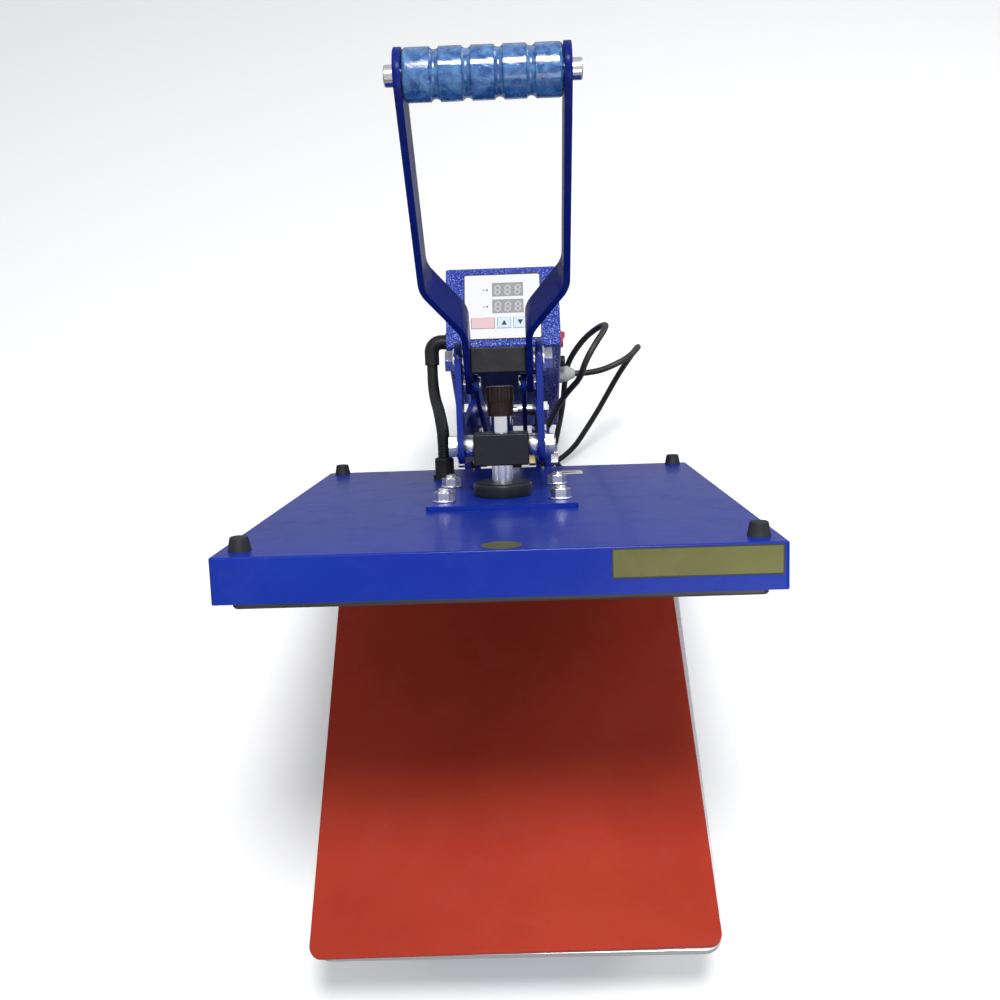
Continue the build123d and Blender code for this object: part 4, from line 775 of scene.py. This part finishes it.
def circle(radius, centre=(0.0, 0.0), steps=40):
    # an outline of a full turn
    turns = [2 * math.pi * step / steps for step in range(steps)]
    return [(centre[0] + radius * math.cos(turn), centre[1] + radius * math.sin(turn)) for turn in turns]


# Printing on the control panel, in metres on the panel's face
panelPrint = {
    "frameWidth": 0.0012,
    "frameHeight": 0.0005,
    "frameRadius": 0.002,
    "windowX": 0.0065,
    "windowDrops": (0.021, 0.044),
    "digitPitch": 0.0122,
    "digitWidth": 0.0078,
    "digitHeight": 0.0138,
    "segmentWidth": 0.0021,
    "segmentGap": 0.00025,
    "digitSlant": 0.08,
    "inkHeight": 0.00012,
    "lampX": -0.0185,
    "lampRadius": 0.0011,
    "lampSides": 16,
    "lampHeight": 0.0004,
    "lampSoftness": 0.0001,
    "markSize": 0.0022,
    # how far left of its lamp a mark starts and ends, in mark sizes
    "markReach": (2.2, 1.2),
}
panelLow, panelHigh = localBox("control_panel", controlFrame)
faceTurn = Matrix.Rotation(math.radians(90), 4, "X")
panelFace = controlFrame @ Matrix.Translation((0, panelLow.y, 0)) @ faceTurn
panelTop = panelHigh.z


def bar(start, end, width):
    # one display segment: a bar whose two ends are pointed
    start, end = Vector(start), Vector(end)
    along = (end - start).normalized()
    across = Vector((-along.y, along.x)) * width / 2
    inset = along * width / 2
    first, last = start + inset, end - inset
    return [start, first - across, last - across, end, last + across, first + across]


def digitBars(values, centre):
    halfWidth = (values["digitWidth"] - values["segmentWidth"]) / 2
    halfHeight = (values["digitHeight"] - values["segmentWidth"]) / 2
    gap = values["segmentGap"]
    bars = []
    for level in (-halfHeight, 0, halfHeight):
        bars.append(bar((-halfWidth + gap, level), (halfWidth - gap, level), values["segmentWidth"]))
    for side in (-halfWidth, halfWidth):
        for low in (-halfHeight, 0):
            bars.append(bar((side, low + gap), (side, low + halfHeight - gap), values["segmentWidth"]))
    slant = values["digitSlant"]
    return [[(centre[0] + point.x + slant * point.y, centre[1] + point.y) for point in loop] for loop in bars]


def makePanelPrint(values):
    width, height = panelHigh.x - panelLow.x, panelHigh.z - panelLow.z
    middle = ((panelHigh.x + panelLow.x) / 2, (panelHigh.z + panelLow.z) / 2)
    border = values["frameWidth"]
    outer = roundedRectangle(width + 2 * border, height + 2 * border, values["frameRadius"] + border, middle)
    inner = roundedRectangle(width, height, values["frameRadius"], middle)
    frameLine = ringMesh("panelFrameLine", outer, inner, panelFace, values["frameHeight"])
    addPiece("panelFrameLine", frameLine, "arm", "blackInk")

    windowFront = localBox("display_windows", controlFrame)[0].y
    windowFace = controlFrame @ Matrix.Translation((0, windowFront, 0)) @ faceTurn
    bars = []
    for drop in values["windowDrops"]:
        for column in (-1, 0, 1):
            bars += digitBars(values, (values["windowX"] + column * values["digitPitch"], panelTop - drop))
    digits = flatMesh("displayDigits", bars, windowFace, values["inkHeight"])
    addPiece("displayDigits", digits, "arm", "paleSegment")

    lamps, marks = [], []
    size = values["markSize"]
    start, end = (reach * size for reach in values["markReach"])
    for drop in values["windowDrops"]:
        across, up = values["lampX"], panelTop - drop
        lamps.append(circle(values["lampRadius"], (across, up), values["lampSides"]))
        marks.append([(across - start, up - size / 2), (across - end, up), (across - start, up + size / 2)])
    lampMesh = flatMesh("panelLamps", lamps, panelFace, values["lampHeight"], values["lampSoftness"])
    addPiece("panelLamps", lampMesh, "arm", "blackInk")
    markMesh = flatMesh("panelMarks", marks, panelFace, values["inkHeight"])
    addPiece("panelMarks", markMesh, "arm", "blackInk")


makePanelPrint(panelPrint)

keyPrint = {
    "arrow": 0.0066,
    "ring": 0.0072,
    "ringWidth": 0.0006,
    "height": 0.00012,
    # which way each key's arrow points; the set key has none
    "keys": {"key_up": 1, "key_down": -1, "key_set": 0},
}


def makeKeyPrint(values):
    half = values["arrow"] / 2
    for name, direction in values["keys"].items():
        low, high = localBox(name, controlFrame)
        middle = ((low.x + high.x) / 2, low.y, (low.z + high.z) / 2)
        face = controlFrame @ Matrix.Translation(middle) @ faceTurn
        if direction:
            arrow = [(-half, -direction * half), (half, -direction * half), (0, direction * half)]
            arrowMesh = flatMesh(name + "Arrow", [arrow], face, values["height"])
            addPiece(name + "Arrow", arrowMesh, name, "blackInk")
        outer, inner = circle(values["ring"]), circle(values["ring"] - values["ringWidth"])
        ring = ringMesh(name + "Ring", outer, inner, face, values["height"])
        addPiece(name + "Ring", ring, name, "keyRing" if direction else "roseRing")


makeKeyPrint(keyPrint)
print("panel printed")

# Blank labels on the top cover, placed from its front edge and the arm's middle
labels = {
    "stripWidth": 0.125,
    "stripRight": 0.004,
    "stripTop": 0.0015,
    "stripHeight": 0.0225,
    "stripRadius": 0.001,
    "border": 0.0011,
    "borderInnerRadius": 0.0006,
    "thickness": 0.00025,
    "softness": 0.00005,
    # how far the strip's border and the tag's patch stand above the labels
    "inkHeight": 0.00006,
    "discRadius": 0.0155,
    "discPlace": (0.003, 0.018),
    "tagSize": 0.030,
    "tagRadius": 0.002,
    "tagPlace": (0.071, -0.1475),
    "patchSize": (0.017, 0.010),
    "patchRadius": 0.004,
}


def makeLabels(values):
    low, high = localBox("top_cover", armFrame)
    thickness, softness = values["thickness"], values["softness"]
    front = armFrame @ Matrix.Translation((high.x, low.y, high.z)) @ faceTurn
    width, height, border = values["stripWidth"], values["stripHeight"], values["border"]
    centre = (-values["stripRight"] - width / 2, -values["stripTop"] - height / 2)
    strip = roundedRectangle(width, height, values["stripRadius"], centre)
    within = roundedRectangle(width - 2 * border, height - 2 * border, values["borderInnerRadius"], centre)
    stripMesh = flatMesh("stripLabel", [strip], front, thickness, softness)
    addPiece("stripLabel", stripMesh, "platen", "oliveFoil")
    borderMesh = ringMesh("stripBorder", strip, within, front, thickness + values["inkHeight"])
    addPiece("stripBorder", borderMesh, "platen", "blackInk")

    top = armFrame @ Matrix.Translation((0, 0, high.z))
    discX, discInset = values["discPlace"]
    disc = circle(values["discRadius"], (discX, low.y + discInset))
    discMesh = flatMesh("roundLabel", [disc], top, thickness, softness)
    addPiece("roundLabel", discMesh, "platen", "oliveFoil")
    tag = roundedRectangle(values["tagSize"], values["tagSize"], values["tagRadius"], values["tagPlace"])
    tagMesh = flatMesh("whiteTag", [tag], top, thickness, softness)
    addPiece("whiteTag", tagMesh, "platen", "whiteSticker")
    patch = roundedRectangle(*values["patchSize"], values["patchRadius"], values["tagPlace"])
    tagTop = top @ Matrix.Translation((0, 0, thickness))
    patchMesh = flatMesh("tagPatch", [patch], tagTop, values["inkHeight"])
    addPiece("tagPatch", patchMesh, "platen", "oliveFoil")


makeLabels(labels)
print("blank labels placed")

# The corrugated conduit from the control box to the top cover
conduitValues = {
    # each point is across, behind and above the arm's hinge along the arm, in millimetres
    "route": (
        (-91, 0.23, 117.02), (-91, -1.77, 95.02), (-87, -27.77, 77.02), (-79, -77.77, 65.02),
        (-73, -131, 56.3), (-69, -161, 47.3), (-68, -171, 32.3), (-68, -171, 8.3),
    ),
    "radius": 0.0067,
    "ripple": 0.0003,
    "pitch": 0.0026,
    "ringsPerPitch": 6.0,
    "sides": 24,
    # corners are rounded with a point every so many degrees
    "cornerStep": 6,
}


def makeRippleGroup():
    # a tube along a curve whose radius rises and falls once for each pitch of its length
    group = bpy.data.node_groups.new("corrugatedTube", "GeometryNodeTree")
    kinds = {"Geometry": "Geometry", "Sides": "Int", "Material": "Material"}
    sockets = {}
    for label in ("Geometry", "Radius", "Ripple", "Pitch", "Rings per Pitch", "Sides", "Material"):
        kind = "NodeSocket" + kinds.get(label, "Float")
        sockets[label] = group.interface.new_socket(label, in_out="INPUT", socket_type=kind).identifier
    group.interface.new_socket("Geometry", in_out="OUTPUT", socket_type="NodeSocketGeometry")
    into, out = group.nodes.new("NodeGroupInput").outputs, group.nodes.new("NodeGroupOutput")
    step = combined(group, "DIVIDE", into["Pitch"], into["Rings per Pitch"])
    fine = addNode(
        group, "GeometryNodeResampleCurve", {"Curve": into["Geometry"], "Length": step}, mode="LENGTH"
    )
    along = addNode(group, "GeometryNodeSplineParameter")
    turns = combined(group, "DIVIDE", along.outputs["Length"], into["Pitch"])
    angle = addNode(group, "ShaderNodeMath", {0: turns}, {1: 2 * math.pi}, operation="MULTIPLY")
    wave = addNode(group, "ShaderNodeMath", {0: angle.outputs[0]}, operation="SINE")
    radius = addNode(
        group, "ShaderNodeMath", {0: wave.outputs[0], 1: into["Ripple"], 2: into["Radius"]},
        operation="MULTIPLY_ADD",
    )
    section = addNode(
        group, "GeometryNodeCurvePrimitiveCircle", {"Resolution": into["Sides"]}, {"Radius": 1.0}
    )
    tube = addNode(
        group, "GeometryNodeCurveToMesh",
        {"Curve": fine.outputs[0], "Profile Curve": section.outputs[0], "Scale": radius.outputs[0]},
        {"Fill Caps": True},
    )
    smooth = addNode(group, "GeometryNodeSetShadeSmooth", {"Geometry": tube.outputs[0]})
    real = addNode(group, "GeometryNodeRealizeInstances", {"Geometry": smooth.outputs[0]})
    coated = addNode(
        group, "GeometryNodeSetMaterial", {"Geometry": real.outputs[0], "Material": into["Material"]}
    )
    group.links.new(coated.outputs[0], out.inputs[0])
    return group, sockets


def makeConduit(values):
    points = [armFrame @ mm(*point) for point in values["route"]]
    carrier = curveObject("conduitLine", roundedRoute(points, math.radians(values["cornerStep"])), 0.0)
    group, sockets = makeRippleGroup()
    modifier = carrier.modifiers.new("nodes", "NODES")
    modifier.node_group = group
    given = {
        "Radius": values["radius"], "Ripple": values["ripple"], "Pitch": values["pitch"],
        "Rings per Pitch": values["ringsPerPitch"], "Sides": values["sides"],
        "Material": materials["blackNylon"],
    }
    for label, value in given.items():
        modifier[sockets[label]] = value
    mesh = bakedMesh(carrier, "corrugatedConduit")
    conduit = addPiece("corrugatedConduit", mesh, "arm", "blackNylon")
    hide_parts("conduit")


makeConduit(conduitValues)
print("conduit made")

# The silicone sponge pad
padValues = {
    # distance between the rows of points that give its face its shape
    "spacing": 0.008,
    "edgeRadius": 0.0022,
    "edgeSteps": 4,
    # edges that turn by more than this many degrees are its rim
    "rimAngle": 60,
    # points nearer than this become one, and faces flatter to each other than this many degrees become one
    "mergeGap": 1e-5,
    "flatAngle": 3,
    # points no further than this below the top belong to its face
    "faceDepth": 1e-4,
    # how far the middle of its face is pressed in, and how high and how close together its waves are
    "dip": 0.0004,
    "wave": 0.00025,
    "waveScale": 9,
    "seed": 4.0,
}


def makePad(values):
    # the sheet's flat sides meet its thick edge in a soft corner, and its face is slightly worn in
    build = bmesh.new()
    build.from_mesh(nodes["silicone_pad"].data)
    bmesh.ops.remove_doubles(build, verts=build.verts, dist=values["mergeGap"])
    flatAngle, rimAngle = math.radians(values["flatAngle"]), math.radians(values["rimAngle"])
    bmesh.ops.dissolve_limit(build, angle_limit=flatAngle, verts=build.verts, edges=build.edges)
    rim = [edge for edge in build.edges if len(edge.link_faces) == 2 and edge.calc_face_angle() > rimAngle]
    bmesh.ops.bevel(
        build, geom=rim, offset=values["edgeRadius"], segments=values["edgeSteps"], profile=0.5,
        affect="EDGES",
    )
    low = Vector(min(vertex.co[axis] for vertex in build.verts) for axis in range(3))
    high = Vector(max(vertex.co[axis] for vertex in build.verts) for axis in range(3))
    for axis in (0, 1):
        normal = Vector((axis == 0, axis == 1, 0))
        count = int((high[axis] - low[axis]) / values["spacing"])
        for cut in range(1, count):
            spot = Vector((0, 0, 0))
            spot[axis] = low[axis] + cut * (high[axis] - low[axis]) / count
            everything = build.verts[:] + build.edges[:] + build.faces[:]
            bmesh.ops.bisect_plane(build, geom=everything, plane_co=spot, plane_no=normal)
    middle, size = (low + high) / 2, high - low
    faceBottom = high.z - values["faceDepth"]
    for vertex in build.verts:
        if vertex.co.z > faceBottom:
            across = 2 * (vertex.co.x - middle.x) / size.x
            along = 2 * (vertex.co.y - middle.y) / size.y
            worn = max(0, 1 - across * across) * max(0, 1 - along * along)
            scale = values["waveScale"]
            spot = Vector((vertex.co.x * scale, vertex.co.y * scale, values["seed"]))
            vertex.co.z -= values["dip"] * worn + values["wave"] * (1 + noise.noise(spot)) * worn
    for face in build.faces:
        face.smooth = True
    pad = addPiece("spongePad", meshFrom(build, "spongePad"), "base", "siliconePad")
    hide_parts("silicone_pad")


makePad(padValues)
print("pad made")

# How wide, in metres, the bevels are that break the worked edges of these nodes
edgeBreaks = {
    0.0004: (
        "base_bolts", "hinge_bolts", "lower_pivot_bolts", "arm_tie", "box_screws", "bracket_tab_bolts",
        "mounting_studs", "handle_bolts", "toggle_pins", "link_anchor_bolt", "strut_foot_pin",
        "hinge_spacers", "conduit_gland", "cord_gland", "fuse_holder", "rocker_housing",
    ),
    0.0006: (
        "key_set", "key_up", "key_down", "arm_plate_left", "arm_plate_right", "toggle_links", "hinge_bracket",
        "box_bracket", "mounting_plate", "lower_plate", "heating_plate", "rail_end_caps",
    ),
    0.0008: (
        "handle_bar_left", "handle_bar_right", "screw_flange", "lower_block", "upper_block",
        "control_box_back",
    ),
}
# edges that turn by more than angle degrees are broken; before that, points nearer than mergeGap become one,
# and so do faces flatter to each other than flatAngle degrees
edgeValues = {"angle": 32, "segments": 2, "mergeGap": 2e-6, "flatAngle": 0.5}


def soften(name, width, values):
    # the node's mesh with its sharp edges made into narrow bevels
    copy = nodes[name].data.copy()
    build = bmesh.new()
    build.from_mesh(copy)
    bmesh.ops.remove_doubles(build, verts=build.verts, dist=values["mergeGap"])
    flatAngle = math.radians(values["flatAngle"])
    bmesh.ops.dissolve_limit(build, angle_limit=flatAngle, verts=build.verts, edges=build.edges)
    build.to_mesh(copy)
    build.free()
    carrier = bpy.data.objects.new(name + "Soft", copy)
    scene.collection.objects.link(carrier)
    bevel = carrier.modifiers.new("bevel", "BEVEL")
    bevel.width, bevel.segments, bevel.limit_method = width, values["segments"], "ANGLE"
    bevel.angle_limit = math.radians(values["angle"])
    bevel.use_clamp_overlap = True
    bevel.harden_normals = True
    return bakedMesh(carrier, name + "Edged")


def softenNodes(breaks):
    # each softened copy is shown in its node's place, with the node's own finish and body
    finishOf = {name: finish for finish, names in nodeFinishes.items() for name in names}
    bodyOf = {name: body for body, names in frame["record"]["behaviour"]["bodies"].items() for name in names}
    for width, names in breaks.items():
        for name in names:
            mesh = soften(name, width, edgeValues)
            piece = addPiece(name + "Edged", mesh, bodyOf[name], finishOf[name])
            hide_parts(name)


softenNodes(edgeBreaks)
print("edges softened")
